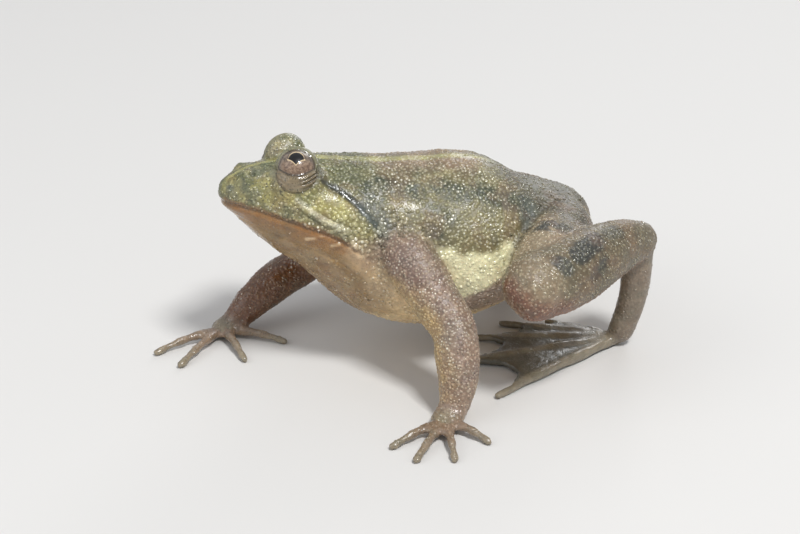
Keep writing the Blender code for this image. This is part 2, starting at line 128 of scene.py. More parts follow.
# The swelling under the eye: half width, half height, height of its middle
LID_BAG = (1.95, 2.10, -0.30)
BAG_RISE = 0.22
GROOVE_DEPTH = 0.16
GROOVE_WIDTH = 0.055

# Nostrils, the swellings ahead of them, and the line of the mouth, in y and z
NOSTRIL = (1.62, 2.95, 18.36)
NOSTRIL_MOUND = (1.40, 2.35, 18.30)
MOUTH = (
    (-1.0, 16.15), (0.9, 16.0), (2.9, 15.6), (4.6, 14.95), (6.4, 14.25),
    (8.2, 13.55), (9.6, 12.8), (11.0, 11.7), (12.6, 10.4),
)
NECK_Y = 11.7
# The lips and the crease between them: rise, height over the mouth's line, width
LIPS = ((0.10, 0.42, 0.28), (0.10, -0.40, 0.28), (-0.14, 0.0, 0.11))
# Rise of the faint crease along the lower jaw
JAW_CREASE = -0.07
# How far from the middle of a nostril its rim stands
RIM_RADIUS = 0.42
# Rise and width of the nostrils' hollows, of their rims and of the mounds ahead of them
HOLLOW = (0.38, 0.20)
HOLLOW_RIM = (0.10, 0.20)
MOUND = (0.34, 0.55)

# Limbs: x, y, z, radius across, radius up
LIMBS = {
    "arm_left": (
        (4.60, 14.40, 12.60, 2.00, 2.20),
        (6.60, 15.40, 11.30, 2.30, 2.30),
        (8.90, 16.70, 9.00, 2.10, 2.15),
        (10.80, 17.80, 7.10, 1.90, 1.95),
        (12.10, 17.80, 5.20, 1.95, 1.95),
        (13.20, 17.50, 3.10, 1.65, 1.60),
        (14.00, 17.00, 1.50, 1.35, 1.15),
    ),
    "arm_right": (
        (-4.90, 16.00, 11.00, 1.90, 2.10),
        (-7.20, 14.90, 9.50, 2.05, 2.10),
        (-8.60, 12.20, 7.30, 1.95, 1.95),
        (-8.80, 9.00, 4.90, 1.80, 1.80),
        (-8.30, 6.60, 4.00, 1.85, 1.85),
        (-7.40, 4.30, 2.80, 1.65, 1.60),
        (-6.60, 2.40, 1.55, 1.35, 1.15),
    ),
    "thigh_left": (
        (2.00, 30.20, 11.40, 2.70, 2.80),
        (4.60, 29.30, 11.30, 3.10, 3.20),
        (8.00, 27.50, 11.00, 3.30, 3.40),
        (11.20, 25.30, 10.60, 2.95, 3.10),
        (13.00, 24.20, 11.10, 2.50, 2.80),
    ),
    "thigh_right": (
        (-2.40, 30.20, 10.60, 2.70, 2.80),
        (-5.00, 28.80, 10.20, 3.10, 3.20),
        (-8.60, 26.00, 9.30, 3.20, 3.30),
        (-11.80, 23.30, 8.50, 2.90, 3.00),
        (-13.40, 21.80, 8.20, 2.50, 2.70),
    ),
    "shank_left": (
        (12.70, 24.10, 11.20, 2.60, 2.70),
        (11.80, 26.60, 11.10, 2.75, 3.10),
        (9.80, 29.80, 11.15, 2.65, 3.10),
        (7.60, 33.30, 11.25, 2.10, 2.60),
        (5.70, 36.10, 10.75, 1.75, 1.85),
    ),
    "shank_right": (
        (-13.10, 21.60, 8.30, 2.50, 2.60),
        (-12.50, 24.00, 8.40, 2.70, 2.90),
        (-11.20, 27.50, 8.50, 2.60, 2.80),
        (-9.70, 30.70, 8.40, 2.10, 2.20),
        (-8.40, 33.10, 8.20, 1.70, 1.75),
    ),
    "tarsus_left": (
        (5.60, 36.00, 10.80, 1.60, 1.60),
        (5.50, 36.30, 8.20, 1.30, 1.45),
        (5.30, 36.10, 4.60, 1.15, 1.30),
        (4.80, 35.40, 1.50, 1.15, 1.20),
    ),
    "tarsus_right": (
        (-8.30, 33.00, 8.40, 1.55, 1.55),
        (-8.40, 32.30, 6.30, 1.30, 1.40),
        (-8.60, 30.90, 3.80, 1.15, 1.30),
        (-8.90, 29.10, 1.50, 1.15, 1.20),
    ),
}
LIMB_SEGMENTS = 28

# Hands and feet: palm or ankle, and the tips of the digits, all on the floor
HANDS = {
    "hand_left": ((15.20, 15.90), ((17.40, 10.70), (20.00, 12.00), (20.70, 15.10), (18.70, 18.60))),
    "hand_right": ((-6.10, 0.90), ((-3.80, -5.60), (-0.90, -3.90), (-0.50, 1.80), (-2.90, 6.00))),
}
FEET = {
    "foot_left": (
        (4.75, 35.20),
        ((-0.40, 30.20), (-1.20, 26.00), (0.70, 22.20), (5.30, 19.00), (11.60, 21.60)),
    ),
    "foot_right": (
        (-8.90, 28.90),
        ((-6.00, 21.90), (-7.30, 18.20), (-10.30, 15.40), (-14.60, 12.70), (-18.00, 16.70)),
    ),
}
PALM_RADIUS = 1.45
FINGER_RADIUS = 0.50
TOE_RADIUS = 0.52
DIGIT_TIP_RADIUS = 0.38
FINGER_ARCH = 0.35
TOE_ARCH = 0.10
# Share along a digit and its thickness there, thicker at the joints
KNUCKLES = (
    (0.0, 1.0), (0.18, 0.86), (0.36, 1.06), (0.5, 0.84), (0.66, 0.98), (0.8, 0.78), (0.92, 1.0), (1.0, 0.95),
)
# The web: how far it reaches along the toes and between them, its underside and thickness
WEB_TOE_REACH = 0.90
WEB_DIP = 0.74
WEB_STEPS = (0.3, 0.7)
WEB_UNDER = 0.25
WEB_THICKNESS = 0.58
DIGIT_SEGMENTS = 14

# How much of the soles is cut off flat, to stand on the floor
FLAT_DEPTH = 0.15

# How granular the limbs are, and how much smaller than the middling size their granules are
LIMB_GRAINS = ((0.90, ("arm",)), (0.70, ("thigh", "shank")), (0.35, ("tarsus",)))
LIMB_SMALLER = ((0.20, ("shank", "thigh")), (0.30, ("arm",)), (0.45, ("hand", "tarsus")))
# Where the granules behind the jaw are largest
COARSE = ((5.9, 10.6, 13.6), (6.4, 12.4, 13.2), (6.6, 14.0, 13.4))
# The way that the arms face where the painted highlights on their granules are brightest
ARM_LIT = (0.0, -0.3, 0.95)
# Granules: the pieces they are made in, with how closely they stand as a share of the spacing,
# and half the width of each one's patch of the map
GRANULE_PIECES = {"head": 0.95, "trunk": 0.95, "arms": 0.85, "legs": 0.95}
PATCH_HALF = 0.0015
GRANULE_SEGMENTS = (8, 6)
# Smallest and largest granule as a share of the size at its place, height as a share of its radius,
# depth of its root as a share of its height, and points tried on each square of the spacing
GRANULE_VARIES = (0.55, 1.50)
GRANULE_HEIGHT = 0.50
GRANULE_SUNK = 0.25
GRANULE_TRIES = 2.0

# The point the camera looks at, in millimetres, its lens and sensor, in millimetres too,
# and its near limit and half the floor's width, in metres
TARGET = (0.0, 16.0, 8.0)
LENS = 91.125
SENSOR_WIDTH = 36.0
CLIP_START = 0.005
FLOOR_HALF = 3.0
# Lights: name, setting with the power, distance and size in metres, and the direction to it
# as shares of the camera's direction, its right and its up
LIGHTS = (
    ("key_light", "key_power", 0.60, 0.12, (0.74, 0.2814, 0.603)),
    ("fill_light", "fill_power", 0.70, 0.50, (0.5, -0.8, 0.4)),
    ("rim_light", "fill_power", 0.70, 0.30, (-0.6, 0.3, 0.7)),
)
WORLD_COLOUR = (0.93, 0.95, 1.0, 1.0)
WORLD_STRENGTH = 0.50

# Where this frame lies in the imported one
EYE_BOX = [Vector(corner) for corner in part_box("eye_left")]


def leaned(point, turn=LEAN):
    """A point of the upright body, moved to where the leaning body has it."""
    x, y, z = point
    rise = z - LEAN_HEIGHT
    level = x * math.cos(turn) - rise * math.sin(turn)
    return Vector((level, y, LEAN_HEIGHT + x * math.sin(turn) + rise * math.cos(turn)))


ORIGIN = leaned(EYE_CENTRE) - Vector((0.0, 0.0, FLAT_DEPTH)) - (EYE_BOX[0] + EYE_BOX[1]) / (2.0 * MM)


def mirrored(point, side):
    return (point[0] * side, point[1], point[2])


def ramp(low, high, value):
    share = np.clip((value - low) / (high - low), 0.0, 1.0)
    return share * share * (3.0 - 2.0 * share)


def smooth_rows(rows, steps):
    """Rows of numbers with a smooth curve through them, in this many steps from each row to the next."""
    rows = np.array(rows)
    ends = np.vstack((2 * rows[0] - rows[1], rows, 2 * rows[-1] - rows[-2]))
    found = []
    for before, start, stop, after in zip(ends, ends[1:], ends[2:], ends[3:]):
        for t in np.arange(steps) / steps:
            bend = (2 * before - 5 * start + 4 * stop - after) * t * t
            twist = (3 * start - before - 3 * stop + after) * t * t * t
            found.append(start + 0.5 * ((stop - before) * t + bend + twist))
    found.append(rows[-1])
    return found


def loft(bm, rings):
    """Skins a row of rings of points and closes both ends."""
    loops = []
    for points in rings:
        verts = bmesh.ops.create_circle(bm, segments=len(points), radius=1.0)["verts"]
        for vert, point in zip(verts, points):
            vert.co = point
        loops.append(list({edge for vert in verts for edge in vert.link_edges}))
    for first, second in zip(loops, loops[1:]):
        bmesh.ops.bridge_loops(bm, edges=first + second)
    for end in (loops[0], loops[-1]):
        bmesh.ops.edgeloop_fill(bm, edges=end)


def round_angles(count):
    return [2.0 * math.pi * step / count for step in range(count)]


def trunk_ring(row):
    y, top, widest, bottom, half_width = row
    ring = []
    for angle in round_angles(TRUNK_SEGMENTS):
        reach = top - widest if math.sin(angle) > 0.0 else widest - bottom
        ring.append(leaned((half_width * math.cos(angle), y, widest + reach * math.sin(angle))))
    return ring


def tube_rings(rows, segments):
    """Rings across a path of rows: x, y, z, radius across, radius up."""
    rings = []
    centres = [Vector(row[:3]) for row in rows]
    for place, row in enumerate(rows):
        ahead = centres[min(place + 1, len(rows) - 1)]
        behind = centres[max(place - 1, 0)]
        along = (ahead - behind).normalized()
        side = along.cross(Vector((0.0, 0.0, 1.0)))
        if side.length < STEEP:
            side = along.cross(Vector((0.0, 1.0, 0.0)))
        side.normalize()
        up = side.cross(along)
        rings.append([
            centres[place] + side * row[3] * math.cos(angle) + up * row[4] * math.sin(angle)
            for angle in round_angles(segments)
        ])
    return rings


def round_ends(rows):
    """The rows of a path with a short dome of smaller rings at each end."""
    rows = [np.array(row, float) for row in rows]
    capped = []
    for end, inner, place in ((rows[0], rows[1], 0), (rows[-1], rows[-2], -1)):
        along = end[:3] - inner[:3]
        along /= np.linalg.norm(along)
        dome = []
        for angle in CAP_ANGLES:
            turn = math.radians(angle)
            radii = end[3:] * math.cos(turn)
            dome.append(np.concatenate((end[:3] + along * end[3:].mean() * math.sin(turn), radii)))
        capped.append(dome[::-1] if place == 0 else dome)
    return capped[0] + rows + capped[1]


def add_ball(bm, segments, radius, place=Matrix()):
    around, across = segments
    bmesh.ops.create_uvsphere(bm, u_segments=around, v_segments=across, radius=radius, matrix=place)


def add_tube(bm, rows, segments):
    loft(bm, tube_rings(round_ends(smooth_rows(rows, ROW_STEPS)), segments))


def digit_rows(start, tip, radius, arch):
    """A finger or toe from the palm or ankle to its tip, arched up, thicker at its joints."""
    start = Vector((start[0], start[1], radius + FLAT_DEPTH))
    tip = Vector((tip[0], tip[1], DIGIT_TIP_RADIUS))
    rows = []
    for share, knuckle in KNUCKLES:
        point = start.lerp(tip, share) + Vector((0.0, 0.0, arch * math.sin(math.pi * share)))
        size = (radius + (DIGIT_TIP_RADIUS - radius) * share) * knuckle
        rows.append((*point, size, size))
    return rows


def palm_rows(wrist, palm):
    """The hand from the wrist to the palm, growing wider and flatter."""
    return (
        (wrist[0], wrist[1], 1.35, PALM_RADIUS * 0.85, 1.00),
        ((wrist[0] + palm[0]) / 2, (wrist[1] + palm[1]) / 2, 1.05, PALM_RADIUS * 0.95, 0.85),
        (palm[0], palm[1], 0.80, PALM_RADIUS, 0.65),
    )


def add_web(bm, ankle, toes):
    """The skin between the toes: a thin slab with an edge that dips from toe to toe."""
    ankle = Vector((*ankle, 0.0))
    tips = [Vector((*toe, 0.0)) for toe in toes]
    outline = [ankle]
    for place, tip in enumerate(tips):
        outline.append(ankle.lerp(tip, WEB_TOE_REACH))
        if place + 1 < len(tips):
            for share in WEB_STEPS:
                outline.append(ankle.lerp(tip.lerp(tips[place + 1], share), WEB_DIP))
    verts = bmesh.ops.create_circle(bm, segments=len(outline), radius=1.0)["verts"]
    for vert, point in zip(verts, outline):
        vert.co = point + Vector((0.0, 0.0, WEB_UNDER))
    edges = list({edge for vert in verts for edge in vert.link_edges})
    face = bmesh.ops.contextual_create(bm, geom=edges)["faces"]
    raised = bmesh.ops.extrude_face_region(bm, geom=face, use_keep_orig=True)["geom"]
    for item in raised:
        if isinstance(item, bmesh.types.BMVert):
            item.co.z += WEB_THICKNESS


def tube_table():
    """Every limb and digit as part name, rows and segments."""
    tubes = [(name, rows, LIMB_SEGMENTS) for name, rows in LIMBS.items()]
    for name, (palm, tips) in HANDS.items():
        wrist = LIMBS[name.replace("hand", "arm")][-1]
        tubes.append((name, palm_rows(wrist, palm), LIMB_SEGMENTS))
        for tip in tips:
            tubes.append((name, digit_rows(palm, tip, FINGER_RADIUS, FINGER_ARCH), DIGIT_SEGMENTS))
    for name, (ankle, tips) in FEET.items():
        for tip in tips:
            tubes.append((name, digit_rows(ankle, tip, TOE_RADIUS, TOE_ARCH), DIGIT_SEGMENTS))
    return tubes


def link_object(name, bm):
    """Turns the bmesh into an object of the scene and frees it."""
    mesh = bpy.data.meshes.new(name)
    bm.to_mesh(mesh)
    bm.free()
    obj = bpy.data.objects.new(name, mesh)
    bpy.context.scene.collection.objects.link(obj)
    return obj


def apply_modifiers(obj):
    graph = bpy.context.evaluated_depsgraph_get()
    mesh = bpy.data.meshes.new_from_object(obj.evaluated_get(graph))
    obj.modifiers.clear()
    old = obj.data
    obj.data = mesh
    bpy.data.meshes.remove(old)


def fused_flesh(name, voxel, passes):
    """All that is skin, as one closed surface round overlapping shapes."""
    bm = bmesh.new()
    loft(bm, [trunk_ring(row) for row in smooth_rows(TRUNK, ROW_STEPS)])
    for side in (1, -1):
        ball = Matrix.Translation(leaned(mirrored(EYE_CENTRE, side)))
        brow = Matrix.Translation(leaned(mirrored(BROW_CENTRE, side))) @ Matrix.Rotation(-LEAN, 4, "Y")
        brow = brow @ Matrix.Diagonal((*BROW_SIZE, 1.0))
        for radius, place in ((LID_RADIUS, ball), (1.0, brow)):
            add_ball(bm, LID_SEGMENTS, radius, place)
    for _, rows, segments in tube_table():
        add_tube(bm, rows, segments)
    for ankle, tips in FEET.values():
        add_web(bm, ankle, tips)
    bmesh.ops.recalc_face_normals(bm, faces=bm.faces)
    obj = link_object(name, bm)
    remesh = obj.modifiers.new("fuse", "REMESH")
    remesh.mode = "VOXEL"
    remesh.voxel_size = voxel
    smooth = obj.modifiers.new("smooth", "SMOOTH")
    smooth.factor = SMOOTH_SHARE
    smooth.iterations = passes
    apply_modifiers(obj)
    return obj


def refine(obj, inside, passes):
    """Halves the faces of the region and smooths them."""
    bm = bmesh.new()
    bm.from_mesh(obj.data)
    faces = [face for face in bm.faces if inside(face.calc_center_median())]
    edges = list({edge for face in faces for edge in face.edges})
    bmesh.ops.subdivide_edges(bm, edges=edges, cuts=1, use_grid_fill=True)
    verts = [vert for vert in bm.verts if inside(vert.co)]
    for _ in range(passes):
        bmesh.ops.smooth_vert(
            bm, verts=verts, factor=SMOOTH_SHARE, use_axis_x=True, use_axis_y=True, use_axis_z=True
        )
    bm.to_mesh(obj.data)
    bm.free()


def on_head(point):
    """Whether the point lies in the region of the head that is made finer."""
    end, under, right = HEAD_REGION
    return point.y < end and point.z > under and point.x > right


def by_eye(point):
    """Whether the point lies near enough to an eye to be made finer again."""
    return any((point - leaned(mirrored(EYE_CENTRE, side))).length < EYE_REACH for side in (1, -1))


def vectors(items, field):
    """The named vector of each of the mesh's items, as rows."""
    values = np.empty(len(items) * 3, np.float32)
    items.foreach_get(field, values)
    return values.reshape(-1, 3).astype(float)



def set_points(mesh, points):
    mesh.vertices.foreach_set("co", points.astype(np.float32).ravel())
    mesh.update()


def lean_points(points, turn):
    rise = points[:, 2] - LEAN_HEIGHT
    level = points[:, 0] * math.cos(turn) - rise * math.sin(turn)
    height = LEAN_HEIGHT + points[:, 0] * math.sin(turn) + rise * math.cos(turn)
    return np.column_stack((level, points[:, 1], height))


def tube_depth(points, rows):
    """How far outside a tube each point is, less than 0 inside, and how far along it."""
    best = np.full(len(points), FAR)
    along = np.zeros(len(points))
    count = len(rows) - 1
    for place in range(count):
        a, b = np.array(rows[place]), np.array(rows[place + 1])
        line = b[:3] - a[:3]
        share = np.clip((points - a[:3]) @ line / (line @ line), 0.0, 1.0)
        radius = a[3:].mean() + (b[3:].mean() - a[3:].mean()) * share
        depth = np.linalg.norm(points - a[:3] - share[:, None] * line, axis=1) - radius
        nearer = depth < best
        best[nearer] = depth[nearer]
        along[nearer] = (place + share[nearer]) / count
    return best, along


def distances(points, place):
    return np.linalg.norm(points - np.array(place), axis=1)


def trunk_depth(body):
    """How far outside the trunk and eyelids each point is, and its angle round the trunk."""
    columns = np.array(TRUNK).T
    y = body[:, 1]
    top, widest, bottom, half_width = (np.interp(y, columns[0], column) for column in columns[1:])
    rise = body[:, 2] - widest
    reach = np.where(rise > 0.0, top - widest, widest - bottom)
    radius = np.hypot(body[:, 0] / half_width, rise / reach)
    beyond = np.maximum(columns[0][0] - y, 0.0) + np.maximum(y - columns[0][-1], 0.0)
    depth = (radius - 1.0) * np.minimum(half_width, reach) + beyond
    near_eye = np.minimum(*(distances(body, mirrored(EYE_CENTRE, side)) for side in (1, -1)))
    angle = np.arctan2(rise / reach, np.abs(body[:, 0]) / half_width)
    return np.minimum(depth, near_eye - LID_RADIUS), angle


class Skin:
    """The skin's points, with what each belongs to."""

    def __init__(self, obj):
        self.mesh = obj.data
        self.points = vectors(self.mesh.vertices, "co")
        self.normals = vectors(self.mesh.vertex_normals, "vector")
        self.body = lean_points(self.points, -LEAN)
        self.y = self.body[:, 1]
        self.off = self.body[:, 2] - mouth_line(self.y)
        self.tree = BVHTree.FromPolygons(
            [tuple(point) for point in self.points], [tuple(face.vertices) for face in self.mesh.polygons]
        )
        depths, self.along = {}, {}
        depths["trunk"], angle = trunk_depth(self.body)
        self.lift = np.sin(angle)
        for part, rows, _ in tube_table():
            depth, along = tube_depth(self.points, rows)
            if part not in depths:
                depths[part], self.along[part] = depth, along
            else:
                nearer = depth < depths[part]
                self.along[part] = np.where(nearer, along, self.along[part])
                depths[part] = np.minimum(depths[part], depth)
        self.depths = depths
        table = np.array(list(depths.values()))
        weights = np.exp(-(table - table.min(axis=0)) / PART_BLEND)
        weights /= weights.sum(axis=0)
        self.weight = dict(zip(depths, weights))
        self.trunk = self.weight["trunk"]

    def both(self, *parts):
        """How much each point belongs to these limbs of either side."""
        return sum(self.weight[part + side] for part in parts for side in SIDES)

    def rough(self, size, seed):
        """Smooth noise from -1 to 1 with lumps of about this size."""
        shift = Vector([seed * step for step in NOISE_STEPS])
        return np.array([noise.noise(Vector(point) / size + shift) for point in self.points])

    def snapped(self, points):
        """A path on the skin through the points, in the floor's frame."""
        path = []
        for a, b in zip(points, points[1:] if len(points) > 1 else points):
            a, b = Vector(a), Vector(b)
            count = max(1, round((b - a).length / PATH_STEP))
            path += [self.tree.find_nearest(a.lerp(b, share / count))[0] for share in range(count)]
        path.append(self.tree.find_nearest(Vector(points[-1]))[0])
        return np.array([tuple(point) for point in path])

    def distance(self, path):
        """How far each point is from a path on the skin."""
        best = np.full(len(self.points), FAR)
        for a, b in zip(path, path[1:] if len(path) > 1 else path):
            line = b - a
            length = max(line @ line, 1e-9)
            share = np.clip((self.points - a) @ line / length, 0.0, 1.0)
            best = np.minimum(best, np.linalg.norm(self.points - a - share[:, None] * line, axis=1))
        return best

    def stroke(self, part, radius, softness, points):
        """1 within the radius of a path, falling to 0 over the softness, only on the part it is for.

        On the trunk, and on a limb named without its side, it lies on both sides.
        """
        if part == "trunk":
            copies = ((part, 1), (part, -1))
        elif part in self.weight:
            copies = ((part, 1),)
        else:
            copies = ((part + "_left", 1), (part + "_right", -1))
        total = np.zeros(len(self.points))
        for name, side in copies:
            path = [mirrored(point, side) for point in points]
            if name == "trunk":
                path = [leaned(point) for point in path]
            near = 1.0 - ramp(radius, radius + softness, self.distance(self.snapped(path)))
            total = np.maximum(total, near * np.minimum(1.0, self.weight[name] * 1.5))
        return total


def eye_directions(side):
    """Centre, right, up and outward directions of an eye, in the floor's frame."""
    centre = leaned(mirrored(EYE_CENTRE, side))
    axis = leaned(Vector(mirrored(EYE_CENTRE, side)) + Vector(mirrored(EYE_AXIS, side))) - centre
    axis.normalize()
    right = Vector((0.0, 0.0, 1.0)).cross(axis).normalized()
    return centre, right, axis.cross(right), axis


def mouth_line(y):
    ys, zs = zip(*MOUTH)
    return np.interp(y, ys, zs)


def bump_at(off, width):
    """A round bump: 1 where off is 0, nearly 0 from twice the width on."""
    return np.exp(-((off / width) ** 2))


def shape_face(skin):
    """Lips either side of the mouth, and nostrils with a raised rim. Gives back where the mouth is."""
    off = skin.off
    face = skin.trunk * (skin.y < NECK_Y + 0.5) * ramp(NECK_Y + 0.4, NECK_Y - 2.0, skin.y)
    height = sum(rise * bump_at(off - place, width) for rise, place, width in LIPS)
    height += JAW_CREASE * bump_at(off + 1.15 + 0.10 * skin.y, 0.14)
    height *= face
    for side in (1, -1):
        away = distances(skin.body, mirrored(NOSTRIL, side))
        rim = HOLLOW_RIM[0] * bump_at(away - RIM_RADIUS, HOLLOW_RIM[1])
        height += rim - HOLLOW[0] * bump_at(away, HOLLOW[1])
        height += MOUND[0] * bump_at(distances(skin.body, mirrored(NOSTRIL_MOUND, side)), MOUND[1])
    skin.points += skin.normals * height[:, None]
    return face * bump_at(off, 0.12)


def shape_lids(skin, side):
    """Opens the lids round the eyeball, thins the dome and swells the lower lid."""
    centre, right, up, axis = (np.array(vector) for vector in eye_directions(side))
    local = skin.points - centre
    away = np.linalg.norm(local, axis=1)
    u, v, w = local @ right, local @ up, local @ axis
    tilt = np.arccos(np.clip(w / away, -1.0, 1.0))
    rise = v / np.maximum(np.hypot(u, v), 1e-6)
    near = (away < LID_REACH) & (w > LID_BACK)
    over = tilt - LID_OPENING * (1.0 - 0.10 * np.clip(rise, 0.0, 1.0) ** 2)
    ball_u, ball_v = u / away * EYE_RADIUS, v / away * EYE_RADIUS
    under = (LOWER_EDGE + LOWER_CURVE * ball_u ** 2 - ball_v) / EYE_RADIUS
    outside = np.where(w > 0.0, np.maximum(over, under), over)
    slim = LID_SIDE + (LID_TOP - LID_SIDE) * np.clip(rise, 0.0, 1.0)
    low = ramp(0.0, -0.8, rise)
    keep = ramp(math.radians(70.0), math.radians(125.0), tilt)
    dome = away - (LID_RADIUS - slim) * (1.0 - keep) * (1.0 - low) * ramp(2.5, 2.1, away)
    opened = LID_INSIDE + (LID_EDGE - LID_INSIDE) * ramp(-LID_SHOULDER, 0.0, outside)
    shoulder = np.sqrt(np.clip(outside / LID_SHOULDER, 0.0, 1.0))
    wanted = np.where(outside < 0.0, opened, LID_EDGE + (dome - LID_EDGE) * shoulder)
    wide, tall, middle = LID_BAG
    ring = np.hypot(u / wide, (v - middle) / tall)
    lower = ramp(0.4, -0.6, v) * (near & (outside >= 0.0))
    bag = BAG_RISE * np.clip(1.0 - ring * ring, 0.0, 1.0) * ramp(-0.7, -1.5, v)
    groove = bump_at(ring - 1.0, GROOVE_WIDTH) * lower
    wanted = wanted + bag * lower - GROOVE_DEPTH * groove
    scale = np.where(near, wanted / away, 1.0)
    skin.points = centre + local * scale[:, None]
    close = near * ramp(2.50, 2.20, away)
    creased = ramp(0.05, 0.12, outside) * ramp(0.70, 0.30, outside)
    return {
        "inner": near * ramp(0.04, 0.0, outside),
        "rim": close * ramp(0.60, 0.30, outside) * (tilt < math.radians(115.0)),
        "bag": near * ramp(1.06, 0.96, ring) * ramp(0.2, -0.5, v),
        "groove": groove,
        "outside": np.where(near, outside, 1.5),
        "wrinkled": close * creased * ramp(0.7, -0.2, v) * (0.08 + 0.92 * ramp(0.0, 1.1, u)),
    }


# Lines that both the folds and the colours follow, on the upright body
STREAK = ((4.0, 8.5, 17.7), (4.5, 9.7, 17.0), (5.3, 10.9, 15.9), (5.8, 11.7, 15.0), (6.2, 12.4, 13.9))
UNDER_EYE = ((4.5, 6.2, 16.4), (5.0, 6.9, 15.7), (5.4, 7.8, 14.9), (5.7, 8.8, 14.3), (5.9, 9.8, 13.7))
ABOVE_LIP = (
    (1.5, 0.9, 16.6), (3.2, 2.8, 16.3), (4.3, 4.5, 15.6), (5.0, 6.3, 14.8), (5.5, 8.2, 14.1),
    (5.9, 9.6, 13.4),
)
# The pale patch of the flank, in two strokes
FLANK = ((7.5, 17.4, 10.1), (7.7, 19.6, 9.7), (7.8, 22.4, 9.7), (7.6, 24.2, 10.2))
FLANK_LOW = ((7.5, 18.6, 8.8), (7.1, 19.8, 7.9), (7.3, 21.4, 8.6))

# Where the pale stripe runs, a little left of the middle: y and x on the upright body
STRIPE = ((0.5, 0.40), (3.0, 0.30), (5.0, 0.05), (9.0, 0.35), (12.0, 0.80), (22.0, 0.95), (30.0, 0.20))

# Pale pearls in a row along the lower jaw, on the upright body: strength, half height, points
PEARLS = (
    (0.9, 0.12, ((4.8, 6.7, 13.0), (5.2, 7.3, 13.1))),
    (0.6, 0.08, ((5.4, 7.7, 13.3), (5.4, 7.9, 13.3))),
    (1.0, 0.12, ((5.6, 8.7, 12.4), (5.8, 9.3, 12.5))),
    (0.8, 0.12, ((6.0, 10.2, 12.2), (6.2, 10.7, 12.3))),
    (0.5, 0.22, ((6.1, 10.9, 11.4), (6.3, 11.3, 11.4))),
)
# How much of its half height a pearl keeps whole, and over how much more it fades
PEARL_CORE, PEARL_EDGE = 0.4, 1.6

# Folds of the skin: part, height, width, points. Ridges are positive and creases negative.
FOLDS = (
    ("trunk", -0.22, 0.26, STREAK),
    ("trunk", 0.26, 1.10, ((4.6, 8.6, 16.7), (5.1, 9.6, 15.9), (5.6, 10.8, 14.9), (6.0, 11.8, 13.9))),
    ("trunk", 0.22, 0.22, UNDER_EYE),
    ("trunk", -0.14, 0.14, ((4.9, 6.4, 16.5), (5.3, 7.1, 15.8), (5.6, 8.0, 15.2), (5.8, 9.0, 14.6))),
    ("trunk", -0.30, 0.45, ((5.4, 26.6, 14.4), (6.4, 26.2, 13.0), (7.0, 25.6, 11.0))),
    ("trunk", -0.12, 0.30, ((5.9, 12.6, 13.4), (6.5, 12.2, 11.6), (6.3, 12.0, 9.6))),
    ("shank", -0.22, 0.25, ((11.9, 31.0, 12.1), (13.3, 29.4, 11.6), (14.1, 28.0, 11.3))),
)


# How many times its width a fold fades over, and how far the pearls stand out
FOLD_EDGE = 2.2
PEARL_RISE = 0.10
# Slow lumps of the skin: size, seed, height. They fade out between these distances from the middle
# of an eye, and hands and feet lose this share of them.
LUMPS = ((2.6, 1, 0.10), (1.1, 2, 0.045))
LUMP_ENDS = (2.0, 3.4)
SMOOTH_HANDS = 0.7


def pearl_amount(skin):
    """1 at the middle of each pearl of the jaw, less for the weaker ones."""
    amount = np.zeros(len(skin.points))
    for strength, half, points in PEARLS:
        near = skin.stroke("trunk", half * PEARL_CORE, half * PEARL_EDGE, points)
        amount = np.maximum(amount, strength * near)
    return amount


def flank_amount(skin):
    """Where the pale patch of the flank lies, with a ragged edge."""
    near = np.maximum(skin.stroke("trunk", 0.35, 1.9, FLANK), skin.stroke("trunk", 0.2, 1.5, FLANK_LOW))
    near += 0.22 * skin.rough(0.8, 21)
    return ramp(0.28, 0.78, near) * skin.trunk


def shape_folds(skin):
    height = np.zeros(len(skin.points))
    for part, rise, width, points in FOLDS:
        height += rise * skin.stroke(part, 0.0, width * FOLD_EDGE, points)
    height += PEARL_RISE * pearl_amount(skin)
    skin.points += skin.normals * height[:, None]


def shape_lumps(skin):
    """Slow unevenness of the whole skin, less on the eyelids, hands and feet."""
    soft = sum(skin.rough(size, seed) * height for size, seed, height in LUMPS)
    calm = np.ones(len(skin.points))
    for side in (1, -1):
        calm *= ramp(*LUMP_ENDS, distances(skin.body, mirrored(EYE_CENTRE, side)))
    calm *= 1.0 - SMOOTH_HANDS * skin.both("hand", "foot")
    skin.points += skin.normals * (soft * calm)[:, None]


def linear(colour):
    """A colour given as 0 to 255 in sRGB, for the renderer."""
    share = np.array(colour, float) / 255.0
    return np.where(share <= 0.04045, share / 12.92, ((share + 0.055) / 1.055) ** 2.4)


COLOURS = {
    "back": (142, 134, 91),
    "rump": (64, 58, 40),
    "belly": (236, 206, 156),
    "head": (106, 110, 62),
    "cheek": (200, 192, 118),
    "lip": (132, 126, 88),
    # The jaw and throat: their own colours, darkened by painted shade under the head
    "jaw": (146, 104, 58),
    "throat": (148, 116, 66),
    "pearl": (206, 182, 146),
    "stripe": (176, 172, 110),
    "streak": (34, 42, 42),
    "flank": (255, 250, 204),
    "shoulder": (122, 98, 96),
    "arm": (168, 144, 126),
    "arm_under": (206, 172, 116),
    "hand": (144, 122, 102),
    "thigh": (172, 154, 126),
    "thigh_under": (126, 70, 46),
    "shank": (108, 94, 68),
    "shank_under": (166, 112, 92),
    "band": (44, 46, 42),
    "tarsus": (132, 118, 100),
    "toe": (138, 128, 108),
    "web": (98, 94, 82),
    "lid": (128, 110, 86),
    "rim": (132, 128, 102),
    # Painted sheen: pale wet sheen on the tops of the lids, the ridge under the eye and the snout between
    # nostril and eye
    "painted_sheen": (228, 222, 190),
    "slate": (92, 100, 98),
    "snout_shade": (76, 84, 80),
    "moss": (82, 96, 62),
    "belly_side": (160, 140, 130),
    "pink": (156, 128, 106),
    "finger": (146, 138, 116),
    "russet": (116, 68, 28),
    # Painted shade along the line of the mouth, where the lips meet
    "crease": (92, 64, 48),
    # Painted shade in the gap between the lids and the eyeball and in the groove under the lower lid
    "socket": (78, 66, 54),
}

